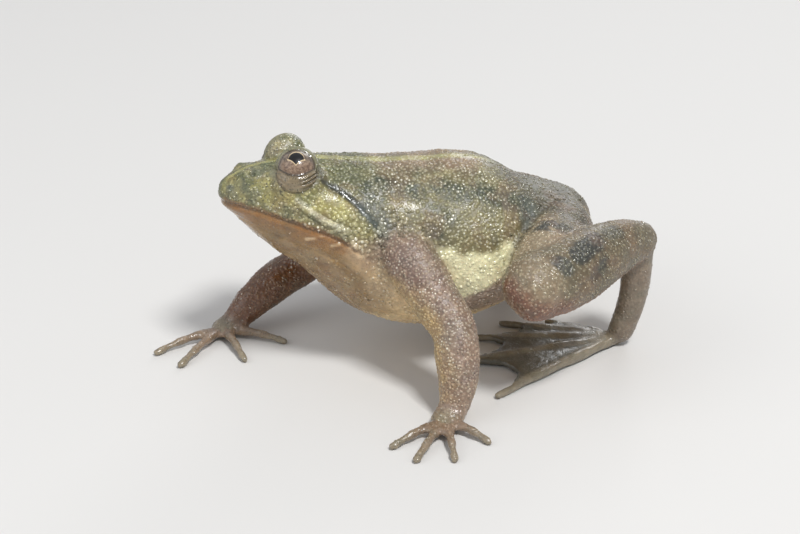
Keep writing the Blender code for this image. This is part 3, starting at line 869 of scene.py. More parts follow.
KNEE_UNDER = (
    (13.6, 21.6, 11.2), (14.9, 22.4, 10.4), (15.2, 23.4, 9.9), (15.0, 24.8, 9.3), (14.3, 26.4, 9.0),
)

CREST = ((0.0, 11.0, 18.9), (0.4, 16.0, 18.3), (0.4, 22.0, 17.9), (0.0, 27.0, 15.4))
ARM_INSIDE = ((7.9, 13.4, 9.8), (9.0, 14.2, 8.6), (10.2, 15.2, 7.0), (11.2, 15.9, 5.2))

# Marks painted over the base, in order: part, colour, strength, radius, softness, points
FACE_MARKS = (
    ("trunk", "head", 0.9, 3.0, 3.0, ((0.8, 1.5, 17.6), (1.5, 5.0, 18.9), (1.5, 9.0, 18.8))),
    ("trunk", "cheek", 0.30, 0.5, 1.2, ((2.9, 4.0, 17.5), (4.0, 5.2, 16.6))),
    ("trunk", "cheek", 0.85, 0.6, 1.2, ((4.4, 6.0, 16.4), (5.0, 7.6, 15.9), (5.5, 9.2, 15.3))),
    ("trunk", "cheek", 0.45, 0.6, 1.3, ((5.8, 10.2, 14.8), (6.1, 11.4, 13.9))),
    ("trunk", "lip", 0.75, 0.45, 0.9, ABOVE_LIP),
    # Painted sheen on the tops of the lids, along the ridge under the eye and on the snout between nostril
    # and eye
    ("trunk", "painted_sheen", 0.45, 0.5, 0.9, ((1.3, 5.5, 19.8), (1.1, 6.4, 19.8))),
    ("trunk", "painted_sheen", 0.90, 0.12, 0.32, UNDER_EYE),
    ("trunk", "painted_sheen", 0.25, 0.3, 0.8, ((1.2, 3.0, 18.6), (2.1, 4.2, 18.3))),
    ("trunk", "snout_shade", 0.42, 0.2, 0.5, ((1.3, 2.8, 18.5), (1.7, 3.4, 18.4), (2.0, 4.2, 18.3))),
    ("trunk", "snout_shade", 0.60, 0.15, 0.5, ((1.2, 0.9, 17.4), (1.5, 1.4, 17.6), (1.7, 1.9, 17.7))),
)
MARKS = (
    ("trunk", "rump", 0.40, 0.8, 1.8, CREST),
    ("trunk", "rump", 0.85, 2.5, 4.0, ((0.0, 27.5, 15.0), (3.0, 28.5, 13.6), (0.0, 31.5, 13.0))),
    # Painted shade on the chest under the head, in the throat's colour
    ("trunk", "throat", 0.55, 0.8, 1.2, ((4.9, 12.4, 7.0), (4.0, 12.6, 5.9))),
    ("trunk", "belly_side", 0.85, 1.2, 1.3, ((6.8, 19.0, 6.4), (6.7, 21.4, 6.2), (6.4, 23.5, 6.8))),
    ("trunk", "slate", 0.75, 0.5, 0.9, ((5.2, 26.3, 14.2), (6.2, 26.0, 12.8))),
    ("trunk", "shoulder", 0.7, 0.5, 1.4, ((6.4, 12.4, 11.4), (6.8, 13.6, 11.9))),
    ("trunk", "pink", 0.6, 0.8, 1.6, ((1.0, 15.0, 18.2), (1.6, 18.5, 18.0), (1.8, 21.5, 17.6))),
    ("trunk", "streak", 0.95, 0.12, 0.42, STREAK),
    ("trunk", "slate", 0.75, 0.40, 1.00, ((5.6, 11.9, 15.3), (5.9, 12.8, 14.6), (6.3, 13.2, 13.6))),
    ("trunk", "pearl", 0.50, 0.50, 1.60, ((6.2, 11.0, 11.4), (6.3, 12.2, 9.9), (6.0, 13.0, 8.3))),
    ("arm_left", "shoulder", 0.7, 0.7, 1.8, ((7.6, 13.5, 12.1), (8.6, 14.0, 11.0))),
    ("arm_left", "arm_under", 0.9, 0.5, 0.9, ARM_INSIDE),
    ("thigh", "rump", 0.88, 1.5, 2.5, ((3.0, 29.5, 14.0), (6.0, 30.3, 13.6))),
    ("thigh_left", "thigh_under", 0.85, 0.7, 1.8, ((7.4, 24.6, 8.4), (10.2, 22.9, 8.0))),
    ("thigh_left", "thigh_under", 0.75, 0.5, 1.3, KNEE_UNDER),
    ("shank_left", "thigh_under", 0.75, 0.5, 1.3, KNEE_UNDER),
    # The far arm in russet: its own reddish brown with painted shade, darker than the near arm
    ("arm_right", "russet", 0.95, 2.6, 1.5, ((-8.6, 12.2, 7.3), (-8.8, 9.0, 4.9), (-7.4, 4.3, 2.8))),
    ("shank_left", "band", 0.75, 0.35, 0.7, ((12.9, 29.3, 11.5), (12.1, 30.6, 12.1))),
)
# Dark blotches of the back: strength, radius, softness, points
BLOTCHES = (
    (0.4, 0.4, 1.0, ((3.6, 10.6, 17.8), (3.9, 11.3, 17.4), (4.5, 12.0, 16.8))),
    (1.0, 0.5, 1.0, ((4.6, 12.4, 16.7), (4.9, 13.1, 16.3))),
    (1.0, 0.5, 1.0, ((4.0, 13.6, 17.0), (4.4, 14.9, 16.7), (4.6, 15.6, 16.4), (4.9, 16.4, 16.2))),
    (1.0, 0.5, 1.0, ((4.8, 18.6, 16.4), (5.3, 19.5, 16.0), (5.6, 20.4, 15.7))),
    (1.0, 0.6, 0.9, ((5.4, 21.9, 15.9), (5.7, 22.8, 15.4), (5.8, 23.8, 15.0), (5.7, 24.6, 14.7))),
    (0.7, 0.3, 1.0, ((6.0, 17.3, 14.9), (6.4, 18.1, 14.5), (6.8, 18.8, 14.0))),
    (1.0, 0.3, 0.7, ((6.9, 17.1, 13.3), (7.1, 17.6, 12.9))),
    (0.7, 0.1, 0.5, ((7.7, 22.5, 11.8),)),
    (0.6, 0.3, 0.9, ((3.2, 15.5, 17.4), (3.1, 17.0, 17.5))),
    (0.5, 0.2, 0.8, ((3.4, 20.8, 17.2), (3.9, 22.2, 16.9))),
)
# Dark bands across the limbs: part, share along it, half width as a share
BANDS = (
    ("thigh", 0.50, 0.045), ("thigh", 0.80, 0.035), ("shank_right", 0.22, 0.055),
    ("shank_right", 0.50, 0.060), ("shank_right", 0.77, 0.050), ("tarsus", 0.45, 0.06),
)
# Dark spots of the left shank: part, strength, radius, softness, points
SPOTS = (
    ("shank_left", 0.9, 0.35, 0.7, ((13.6, 26.1, 13.6), (14.0, 26.8, 13.0))),
    ("shank_left", 1.0, 0.50, 0.9, ((12.8, 28.2, 13.6), (11.9, 29.2, 13.8), (10.9, 30.3, 13.9))),
    ("shank_left", 0.6, 0.40, 0.7, ((9.9, 31.8, 13.9), (9.2, 32.9, 13.7))),
)
# Base colours of the limbs: part, above, below, and how level the skin is where one passes into the other
LIMB_TONES = (
    ("arm", "arm", "arm_under", -0.35, 0.35), ("thigh", "thigh", "thigh_under", -0.95, -0.35),
    ("shank", "shank", "shank_under", -0.95, -0.35), ("tarsus", "tarsus", "tarsus", -1.0, 0.0),
    ("hand", "hand", "hand", -1.0, 0.0), ("foot", "web", "web", -1.0, 0.0),
)


def mixed(base, colour, share):
    return base + (linear(COLOURS[colour]) - base) * share[:, None]


def paint_marks(skin, colour, marks):
    """Paints strokes whose soft edges are made ragged."""
    ragged = 1.6 * skin.rough(0.5, 23)
    for part, name, strength, radius, softness, points in marks:
        near = skin.stroke(part, radius, softness, points)
        near = np.clip(near + ragged * near * (1.0 - near), 0.0, 1.0)
        colour = mixed(colour, name, strength * near)
    return colour


def stripe_amount(skin):
    """Where the pale stripe down the middle of the snout, head and back lies."""
    ys, xs = zip(*STRIPE)
    middle = np.abs(skin.body[:, 0] - np.interp(skin.y, ys, xs)) + 0.10 * skin.rough(1.0, 5)
    thin = ramp(10.0, 6.0, skin.y)
    stripe = ramp(0.66 - 0.34 * thin, 0.36 - 0.20 * thin, middle) * skin.trunk * (skin.body[:, 2] > 12.0)
    stripe *= 0.80 + 0.40 * skin.rough(0.7, 6) * ramp(5.0, 9.0, skin.y)
    return stripe * ramp(0.3, 1.0, skin.y) * ramp(27.0, 21.5, skin.y)


def paint_trunk(skin):
    """The colour of the head and trunk, with the mottled face and the throat."""
    colour = np.tile(linear(COLOURS["belly"]), (len(skin.points), 1))
    colour = mixed(colour, "back", ramp(-0.45, 0.15, skin.lift))
    colour = paint_marks(skin, colour, FACE_MARKS)
    mottle = skin.rough(0.8, 17)
    face = ramp(10.5, 7.5, skin.y) * ramp(0.3, 0.8, skin.off)
    colour = mixed(colour, "cheek", 0.40 * face * ramp(0.02, 0.40, mottle))
    colour = mixed(colour, "moss", 0.45 * face * ramp(-0.05, -0.40, mottle))
    jaw = ramp(0.55, 0.15, skin.off + 0.22 * skin.rough(0.5, 14)) * ramp(13.5, 11.0, skin.y)
    colour = mixed(colour, "throat", jaw)
    pale = np.maximum(ramp(0.0, 0.35, skin.rough(1.5, 31)), ramp(-0.6, -0.9, skin.lift))
    colour = mixed(colour, "pearl", 0.22 * jaw * pale * ramp(-0.8, -2.0, skin.off))
    colour = mixed(colour, "russet", 0.30 * jaw * ramp(0.05, 0.40, skin.rough(0.9, 33)))
    return mixed(colour, "jaw", jaw * bump_at(skin.off + 0.3, 1.1))


def paint_skin(skin, mouth, lids, bands):
    """The colour of every point of the skin."""
    colour = paint_trunk(skin) * skin.trunk[:, None]
    level = skin.normals[:, 2]
    for part, above, under, low, high in LIMB_TONES:
        facing = level + 0.45 * skin.normals[:, 1] if part == "arm" else level
        base = np.tile(linear(COLOURS[under]), (len(skin.points), 1))
        colour += mixed(base, above, ramp(low, high, facing)) * skin.both(part)[:, None]
    for side in SIDES:
        foot, hand = "foot" + side, "hand" + side
        colour = mixed(colour, "toe", 0.85 * (ramp(0.28, 0.06, skin.depths[foot]) * skin.weight[foot]))
        colour = mixed(colour, "finger", 0.75 * (ramp(0.25, 0.9, skin.along[hand]) * skin.weight[hand]))
    colour = mixed(colour, "shoulder", 0.45 * (ramp(-0.05, 0.35, skin.rough(0.9, 37)) * skin.both("arm")))
    colour = paint_marks(skin, colour, MARKS)
    # crease: painted shade along the line of the mouth
    layers = [
        ("flank", flank_amount(skin)), ("stripe", 0.95 * stripe_amount(skin)),
        ("band", 0.95 * np.clip(bands, 0.0, 1.0)), ("pearl", pearl_amount(skin)), ("crease", 0.38 * mouth),
    ]
    # socket: painted shade in the gap round the eyeball and in the groove under the lower lid
    for lid in lids:
        layers += [
            ("rim", 0.85 * lid["rim"]), ("lid", 0.80 * lid["bag"]), ("socket", 0.45 * lid["groove"]),
            ("socket", lid["inner"]),
        ]
    for name, share in layers:
        colour = mixed(colour, name, share)
    return np.clip(colour, 0.0, 1.0)


def store(mesh, name, kind, values):
    """Keeps a value for each point under this name, for the materials and nodes."""
    if kind == "FLOAT_COLOR":
        values = np.hstack((values, np.ones((len(values), 1))))
    field = {"FLOAT": "value", "FLOAT_COLOR": "color", "FLOAT_VECTOR": "vector"}[kind]
    attribute = mesh.attributes.new(name, kind, "POINT")
    attribute.data.foreach_set(field, values.astype(np.float32).ravel())


class Wire:
    """A socket that Python's operators work on, each adding a Math node."""

    def __init__(self, shader, socket):
        self.shader = shader
        self.socket = socket

    def math(self, operation, *values):
        inputs = dict(enumerate((self, *values)))
        return self.shader.node("ShaderNodeMath", {"operation": operation}, inputs)

    def __add__(self, other):
        return self.math("ADD", other)

    __radd__ = __add__

    def __mul__(self, other):
        return self.math("MULTIPLY", other)

    __rmul__ = __mul__

    def __sub__(self, other):
        return self.math("SUBTRACT", other)

    def __rsub__(self, other):
        return (self * -1.0) + other

    def __truediv__(self, other):
        return self.math("DIVIDE", other)

    def __pow__(self, other):
        return self.math("POWER", other)

    def above(self, low, high):
        """0 below low, 1 above high, smooth between."""
        settings = {"interpolation_type": "SMOOTHSTEP"}
        inputs = {"Value": self, "From Min": low, "From Max": high}
        return self.shader.node("ShaderNodeMapRange", settings, inputs)


class Shader:
    """A Principled material and the nodes that feed it."""

    def __init__(self, name, **constants):
        self.material = bpy.data.materials.new(name)
        self.material.use_nodes = True
        self.nodes = self.material.node_tree.nodes
        self.surface = self.nodes["Principled BSDF"]
        for socket, value in constants.items():
            self.surface.inputs[socket.replace("_", " ")].default_value = value

    def node(self, kind, settings=None, inputs=None, output=0):
        node = self.nodes.new(kind)
        for name, value in (settings or {}).items():
            setattr(node, name, value)
        for name, value in (inputs or {}).items():
            self.feed(node.inputs[name], value)
        return Wire(self, node.outputs[output])

    def feed(self, socket, value):
        if isinstance(value, Wire):
            self.material.node_tree.links.new(value.socket, socket)
        else:
            socket.default_value = value

    def place(self):
        return self.node("ShaderNodeTexCoord", output="Object")

    def attribute(self, name, output="Fac"):
        return self.node("ShaderNodeAttribute", {"attribute_name": name}, output=output)

    def noise(self, place, scale, detail=2.0, roughness=0.5):
        inputs = {"Vector": place, "Scale": scale, "Detail": detail, "Roughness": roughness}
        return self.node("ShaderNodeTexNoise", None, inputs)

    def cells(self, place, scale, smoothness=0.3):
        inputs = {"Vector": place, "Scale": scale, "Smoothness": smoothness}
        return self.node("ShaderNodeTexVoronoi", {"feature": "SMOOTH_F1"}, inputs)

    def mix(self, share, first, second, blend="MIX"):
        settings = {"data_type": "RGBA", "blend_type": blend}
        return self.node("ShaderNodeMix", settings, {0: share, 6: first, 7: second}, output=2)

    def tint(self, share, first, name, blend="MIX"):
        """Mixes the tint of this name in by the share."""
        colour, strength = TINTS[name]
        return self.mix(share * strength, first, rgb(colour), blend)

    def bump(self, height, strength, distance):
        inputs = {"Strength": strength, "Distance": distance, "Height": height}
        return self.node("ShaderNodeBump", None, inputs)

    def output(self, **links):
        for socket, value in links.items():
            self.feed(self.surface.inputs[socket.replace("_", " ")], value)
        return self.material


# Tints that the materials mix in: colour and strength
TINTS = {
    "blotch": ((54, 66, 46), 0.92),
    "brown_cloud": ((158, 122, 98), 0.30),
    "green_cloud": ((104, 108, 88), 0.20),
    # Painted shade in the hollows between the granules and pebbles
    "valley_shade": ((140, 128, 102), 0.58),
    "grain": ((220, 212, 176), 0.16),
    # Painted highlights on the tips of the granules
    "glint": ((250, 246, 226), 0.85),
    "speckle": ((40, 44, 32), 0.8),
    # Painted shade in the troughs of the lids' wrinkles
    "wrinkle": ((62, 58, 44), 0.7),
    "iris_pale": ((162, 140, 120), 0.60),
    "iris_dark": ((84, 66, 58), 0.65),
    "iris_edge": ((78, 68, 54), 0.45),
}
IRIS_FLECK = (48, 36, 32)
# How many of the skin's clouds, spots, grains and pebbles there are to a metre
BROAD, MIDDLE, FINE, PEBBLES = 420.0, 1500.0, 6500.0, 2700.0
# How fast the wave of the wrinkles runs with the angle from the lids' edge
WRINKLES = 66.0
# Strength of the bumps and their depth in metres, on the skin and the iris
SKIN_BUMP = (0.9, 0.00012)
IRIS_BUMP = (0.15, 0.00005)
# The pupil in shares of the eye's radius: the foot and rise of its upper edge, how far its lower
# edge dips in the middle, and how sharply
PUPIL_FOOT, PUPIL_RISE = 0.30, 0.43
PUPIL_DIP, PUPIL_SHARP = 0.31, 1.7
PUPIL_COLOUR = (0.004, 0.003, 0.004, 1.0)
FLOOR_CLOUD = (0.72, 0.71, 0.69, 1.0)


def rgb(colour):
    """A colour given as 0 to 255, for a socket."""
    return (*linear(colour), 1.0)


def skin_material():
    shader = Shader(
        "wet_granular_skin", Coat_Roughness=0.10, Coat_IOR=1.80, Subsurface_Weight=0.10,
        Subsurface_Radius=(1.0, 0.55, 0.35), Subsurface_Scale=0.0005, Specular_IOR_Level=0.8,
    )
    place = shader.place()
    paint = shader.attribute("paint", "Color")
    names = ("patch", "speckle", "granular", "lid_place", "wrinkled", "glint")
    patch, speckle, granular, lid, wrinkled, glint = (shader.attribute(name) for name in names)
    shine = shader.attribute("shine") * glint
    tip = shader.node("ShaderNodeSeparateXYZ", None, {0: shader.attribute("dome", "Vector")}, output=2)
    dome = tip.above(0.0, 0.15)
    broad = shader.noise(place, BROAD, 3.0)
    middle = shader.noise(place, MIDDLE, 3.0)
    fine = shader.noise(place, FINE, 2.0)
    cells = shader.cells(place, PEBBLES)
    pebble = 1.0 - cells.above(0.05, 0.62)
    wrinkle = ((lid + fine * 0.03) * WRINKLES).math("SINE") * wrinkled
    colour = shader.tint(patch * (middle.above(0.34, 0.56) * 0.5 + 0.5), paint, "blotch")
    colour = shader.tint(granular * broad.above(0.52, 0.38), colour, "brown_cloud")
    colour = shader.tint(broad.above(0.52, 0.66), colour, "green_cloud")
    # Painted shade in the hollows between the granules and pebbles
    colour = shader.tint(granular * (1.0 - pebble) * (1.0 - tip), colour, "valley_shade", "MULTIPLY")
    colour = shader.tint(granular * (pebble * 0.6 + dome), colour, "grain")
    # Painted highlights: pale spots on the tips of the granules, where shine and glint are strong
    bright = tip.above(0.62, 0.97) * shine.above(0.30, 0.85)
    colour = shader.tint(bright * (middle.above(0.44, 0.62) * 0.5 + 0.5) * granular, colour, "glint")
    colour = shader.tint(speckle * fine.above(0.57, 0.66), colour, "speckle")
    # Painted shade in the troughs of the lids' wrinkles
    colour = shader.tint(wrinkle.above(0.1, -0.7), colour, "wrinkle")
    tone = shader.mix(1.0, colour, shader.node("ShaderNodeMapRange", None, {
        "Value": middle, "From Min": 0.25, "From Max": 0.75, "To Min": 0.80, "To Max": 1.18,
    }), "MULTIPLY")
    height = pebble * granular * 0.8 + fine * 0.22 + middle * (0.60 - granular * 0.35) + wrinkle * 0.7
    return shader.output(
        Base_Color=tone,
        Roughness=0.24 + granular * 0.26 + fine * 0.16 - dome * 0.26 - (1.0 - dome) * glint * 0.22,
        Coat_Weight=dome * (shine * 0.75 + 0.25) + (1.0 - dome) * glint * granular * 0.06,
        Normal=shader.bump(height, *SKIN_BUMP),
    )


def eye_material(settings):
    shader = Shader(
        "wet_eye", Coat_Weight=1.0, Coat_Roughness=0.02, Coat_IOR=1.38, Roughness=0.35,
        Specular_IOR_Level=0.3,
    )
    spot = shader.attribute("eye_place", "Vector")
    parts = shader.node("ShaderNodeSeparateXYZ", None, {0: spot}).socket.node.outputs
    across, height = Wire(shader, parts[0]), Wire(shader, parts[1])
    out = (across * across + height * height) ** 0.5
    lower = height.above(0.42, 0.05)
    grain = shader.noise(spot, 6.0, 5.0, 0.7)
    fleck = shader.noise(spot, 17.0, 3.0, 0.65)
    iris = shader.mix(lower, rgb(settings.upper_iris), rgb(settings.lower_iris))
    iris = shader.tint(grain.above(0.45, 0.60), iris, "iris_pale")
    iris = shader.tint(grain.above(0.50, 0.38), iris, "iris_dark")
    iris = shader.mix(fleck.above(0.58, 0.66) * (lower * 0.6 + 0.25), iris, rgb(IRIS_FLECK))
    iris = shader.tint(out.above(0.78, 0.95), iris, "iris_edge")
    side = across.math("ABSOLUTE") / settings.pupil_width
    inside = (1.0 - side * side).math("MAXIMUM", 0.0) ** 0.5
    top = inside * PUPIL_RISE + PUPIL_FOOT
    point = PUPIL_DIP - ((1.0 - side).math("MAXIMUM", 0.0) ** PUPIL_SHARP) * PUPIL_DIP
    depth = (top - height).math("MINIMUM", height - point).math("MINIMUM", (1.0 - side) * 0.4)
    iris = shader.mix(depth.above(-0.065, -0.025), iris, rgb(settings.rim))
    iris = shader.mix(depth.above(-0.015, 0.012), iris, PUPIL_COLOUR)
    return shader.output(Base_Color=iris, Normal=shader.bump(grain, *IRIS_BUMP))


def floor_material(settings):
    shader = Shader("pale_floor", Roughness=0.75)
    cloud = shader.noise(shader.place(), 6.0, 3.0)
    colour = shader.mix(cloud * 0.3, (*settings.floor_colour, 1.0), FLOOR_CLOUD)
    return shader.output(Base_Color=colour)


class FrogSkinSettings(bpy.types.PropertyGroup):
    voxel: bpy.props.FloatProperty(
        name="Mesh size", description="Edge length of the skin's mesh, in millimetres",
        default=0.275, min=0.15,
    )
    smoothing: bpy.props.IntProperty(
        name="Smoothing", description="Passes that smooth the fused skin", default=3, min=0
    )


class FrogGranuleSettings(bpy.types.PropertyGroup):
    spacing: bpy.props.FloatProperty(
        name="Spacing", description="Least distance between two granules, in millimetres",
        default=0.28, min=0.2,
    )
    width: bpy.props.FloatProperty(
        name="Width", description="Radius of a middling granule, in millimetres",
        default=0.135, min=0.02,
    )
    seed: bpy.props.IntProperty(name="Seed", description="Seed of the scatter", default=7)


class FrogEyeSettings(bpy.types.PropertyGroup):
    upper_iris: bpy.props.IntVectorProperty(
        name="Upper iris", description="Colour above the pupil, 0 to 255",
        default=(96, 88, 76), min=0, max=255,
    )
    lower_iris: bpy.props.IntVectorProperty(
        name="Lower iris", description="Colour below the pupil, 0 to 255",
        default=(122, 99, 80), min=0, max=255,
    )
    rim: bpy.props.IntVectorProperty(
        name="Pupil rim", description="Colour of the ring round the pupil, 0 to 255",
        default=(224, 200, 160), min=0, max=255,
    )
    pupil_width: bpy.props.FloatProperty(
        name="Pupil width", description="Half width of the pupil as a share of the eye's radius",
        default=0.42,
    )


class FrogStageSettings(bpy.types.PropertyGroup):
    floor_colour: bpy.props.FloatVectorProperty(
        name="Floor", description="Colour of the floor", subtype="COLOR",
        default=(0.62, 0.61, 0.59), min=0.0, max=1.0,
    )
    key_power: bpy.props.FloatProperty(
        name="Key light", description="Power of the main light", subtype="POWER", default=3.0, min=0.0
    )
    fill_power: bpy.props.FloatProperty(
        name="Fill light", description="Power of the lights from the other side and behind",
        subtype="POWER", default=0.9, min=0.0,
    )
    azimuth: bpy.props.FloatProperty(
        name="Azimuth", description="Camera's direction round the frog", subtype="ANGLE",
        default=math.radians(75.0),
    )
    elevation: bpy.props.FloatProperty(
        name="Elevation", description="Camera's height over the frog", subtype="ANGLE",
        default=math.radians(26.0),
    )
    distance: bpy.props.FloatProperty(
        name="Distance", description="Camera's distance", subtype="DISTANCE", default=0.18, min=0.01
    )


def unwrap(obj):
    """Lays the skin's own shape out flat in the map OFBake."""
    obj.data.uv_layers.new(name="OFBake")
    bpy.context.view_layer.objects.active = obj
    obj.select_set(True)
    bpy.ops.object.mode_set(mode="EDIT")
    bpy.ops.mesh.select_all(action="SELECT")
    bpy.ops.uv.smart_project(angle_limit=math.radians(66.0), island_margin=0.002)
    bpy.ops.object.mode_set(mode="OBJECT")
    obj.select_set(False)


def to_metres(obj):
    obj.data.transform(Matrix.Scale(MM, 4) @ Matrix.Translation(-ORIGIN))
    obj.data.update()


def grain_amount(skin, mouth, lids):
    """How granular each point of the skin is."""
    amount = 0.9 * skin.trunk
    for share, parts in LIMB_GRAINS:
        amount += share * skin.both(*parts)
    amount += 0.50 * skin.both("hand") * ramp(0.1, 0.5, skin.normals[:, 2])
    amount *= 1.0 - 0.20 * (ramp(7.5, 2.5, skin.y) * skin.trunk)
    jaw = ramp(0.05, -0.20, skin.off) * ramp(13.5, 11.0, skin.y)
    jaw *= 0.90 - 0.60 * ramp(-1.8, -3.2, skin.off)
    amount *= 1.0 - np.maximum(jaw, 0.6 * ramp(-0.1, -0.6, skin.lift) * skin.trunk)
    crest = ramp(0.93, 0.99, skin.lift) * ramp(7.0, 10.0, skin.y)
    amount *= 1.0 - 0.5 * np.maximum(crest, ramp(24.0, 28.0, skin.y)) * skin.trunk
    amount *= 1.0 - 0.7 * stripe_amount(skin)
    amount *= 1.0 - 0.5 * flank_amount(skin)
    amount *= 1.0 - 0.8 * skin.stroke("trunk", 0.12, 0.30, STREAK)
    for lid in lids:
        amount *= 1.0 - np.clip(lid["bag"] + lid["inner"] + 0.9 * lid["rim"], 0.0, 1.0)
    return np.clip(amount * (1.0 - mouth), 0.0, 1.0)


def glint_amount(skin):
    """How strong the painted highlights on the granules' tips are, and how glossy the skin is: in clusters,
    and less on the rump and the hind legs.
    """
    amount = 0.30 + 0.70 * ramp(-0.15, 0.30, skin.rough(1.3, 41))
    amount *= 1.0 - 0.75 * ramp(22.0, 26.0, skin.y) * skin.trunk
    amount *= 1.0 - 0.35 * skin.both("thigh", "shank", "tarsus")
    facing = ramp(-0.1, 0.7, skin.normals @ np.array(ARM_LIT))
    return amount * (1.0 - 0.55 * skin.both("arm", "hand") * (1.0 - facing))


def grain_size(skin):
    """How large the granules are, as a share of the middling size."""
    size = np.ones(len(skin.points))
    size += 0.55 * skin.stroke("trunk", 0.8, 2.2, COARSE)
    size -= 0.45 * ramp(8.0, 4.0, skin.y) * skin.trunk
    for share, parts in LIMB_SMALLER:
        size -= share * skin.both(*parts)
    return size


def blotch_amount(skin):
    """Where the dark blotches of the back lie."""
    above = ramp(-0.1, 0.4, skin.lift) * ramp(7.0, 12.0, skin.y)
    above = above * ramp(11.5, 13.5, skin.body[:, 2])
    amount = 0.3 * ramp(0.0, 0.35, skin.rough(2.0, 11)) * above * skin.trunk
    for strength, radius, softness, points in BLOTCHES:
        amount = np.maximum(amount, strength * skin.stroke("trunk", radius, softness, points))
    return amount


def band_amount(skin):
    """Where the dark bands and spots of the limbs lie."""
    amount = np.zeros(len(skin.points))
    waver = 0.03 * skin.rough(1.1, 8)
    top = ramp(-0.1, 0.5, skin.normals[:, 2]) * ramp(-0.45, -0.10, skin.rough(0.8, 9))
    for part, middle, half in BANDS:
        for name in (part,) if part in skin.along else [part + side for side in SIDES]:
            off = np.abs(skin.along[name] - middle + waver)
            amount = np.maximum(amount, ramp(half + 0.03, half - 0.01, off) * skin.weight[name] * top)
    ragged = 0.35 * skin.rough(0.6, 29)
    for part, strength, radius, softness, points in SPOTS:
        near = skin.stroke(part, radius, softness, points)
        amount = np.maximum(amount, strength * ramp(0.15, 0.75, near + ragged))
    return amount


class FROG_OT_skin(bpy.types.Operator):
    """Makes one skin in place of the solids of the head, trunk and limbs"""

    bl_idname = "frog.skin"
    bl_label = "Frog skin"

    def execute(self, context):
        settings = context.scene.frog_skin
        obj = fused_flesh("skin", settings.voxel, settings.smoothing)
        refine(obj, on_head, 2)
        refine(obj, by_eye, 2)
        unwrap(obj)
        skin = Skin(obj)
        shape_folds(skin)
        shape_lumps(skin)
        mouth = shape_face(skin)
        lids = [shape_lids(skin, side) for side in (1, -1)]
        skin.points[:, 2] = np.maximum(skin.points[:, 2], FLAT_DEPTH) - FLAT_DEPTH
        set_points(skin.mesh, skin.points)
        skin.normals = vectors(skin.mesh.vertex_normals, "vector")
        store(skin.mesh, "paint", "FLOAT_COLOR", paint_skin(skin, mouth, lids, band_amount(skin)))
        granular = grain_amount(skin, mouth, lids)
        ahead = ramp(NECK_Y + 0.2, NECK_Y - 0.2, skin.y) * skin.trunk
        behind = ramp(NECK_Y - 0.2, NECK_Y + 0.2, skin.y) * skin.trunk
        arms = skin.both("arm", "hand")
        shares = zip(GRANULE_PIECES, (ahead, behind, arms, 1.0 - skin.trunk - arms))
        snout = ramp(9.0, 5.0, skin.y) * ramp(-0.3, 0.2, skin.off)
        amounts = {
            "granular": granular,
            **{"grains_" + name: granular * share for name, share in shares},
            "grain_size": grain_size(skin) * context.scene.frog_granules.width,
            "glint": glint_amount(skin),
            "patch": blotch_amount(skin),
            "lid_place": np.minimum(lids[0]["outside"], lids[1]["outside"]),
            "wrinkled": np.maximum(lids[0]["wrinkled"], lids[1]["wrinkled"]),
            "speckle": 0.35 + 0.65 * snout * skin.trunk + 0.25 * arms,
        }
        for name, values in amounts.items():
            store(skin.mesh, name, "FLOAT", values)
        to_metres(obj)
        obj.data.shade_smooth()
        obj.data.materials.clear()
        obj.data.materials.append(skin_material())
        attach(obj, "root")
        flesh = [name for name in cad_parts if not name.startswith("eye")]
        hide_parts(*flesh)
        return {"FINISHED"}


def granule_dome():
    """A low closed dome one unit wide, with its own coordinates kept as the attribute dome."""
    bm = bmesh.new()
    add_ball(bm, GRANULE_SEGMENTS, 1.0)
    geometry = list(bm.verts) + list(bm.edges) + list(bm.faces)
    bmesh.ops.bisect_plane(
        bm, geom=geometry, dist=1e-3, plane_co=(0.0, 0.0, 0.0), plane_no=(0.0, 0.0, 1.0), clear_inner=True
    )
    rim = [edge for edge in bm.edges if edge.is_boundary]
    bmesh.ops.edgeloop_fill(bm, edges=rim)
    bmesh.ops.recalc_face_normals(bm, faces=bm.faces)
    places = np.array([tuple(vert.co) for vert in bm.verts])
    bmesh.ops.translate(bm, vec=(0.0, 0.0, -GRANULE_SUNK), verts=bm.verts)
    dome = link_object("dome", bm)
    store(dome.data, "dome", "FLOAT_VECTOR", places)
    return dome


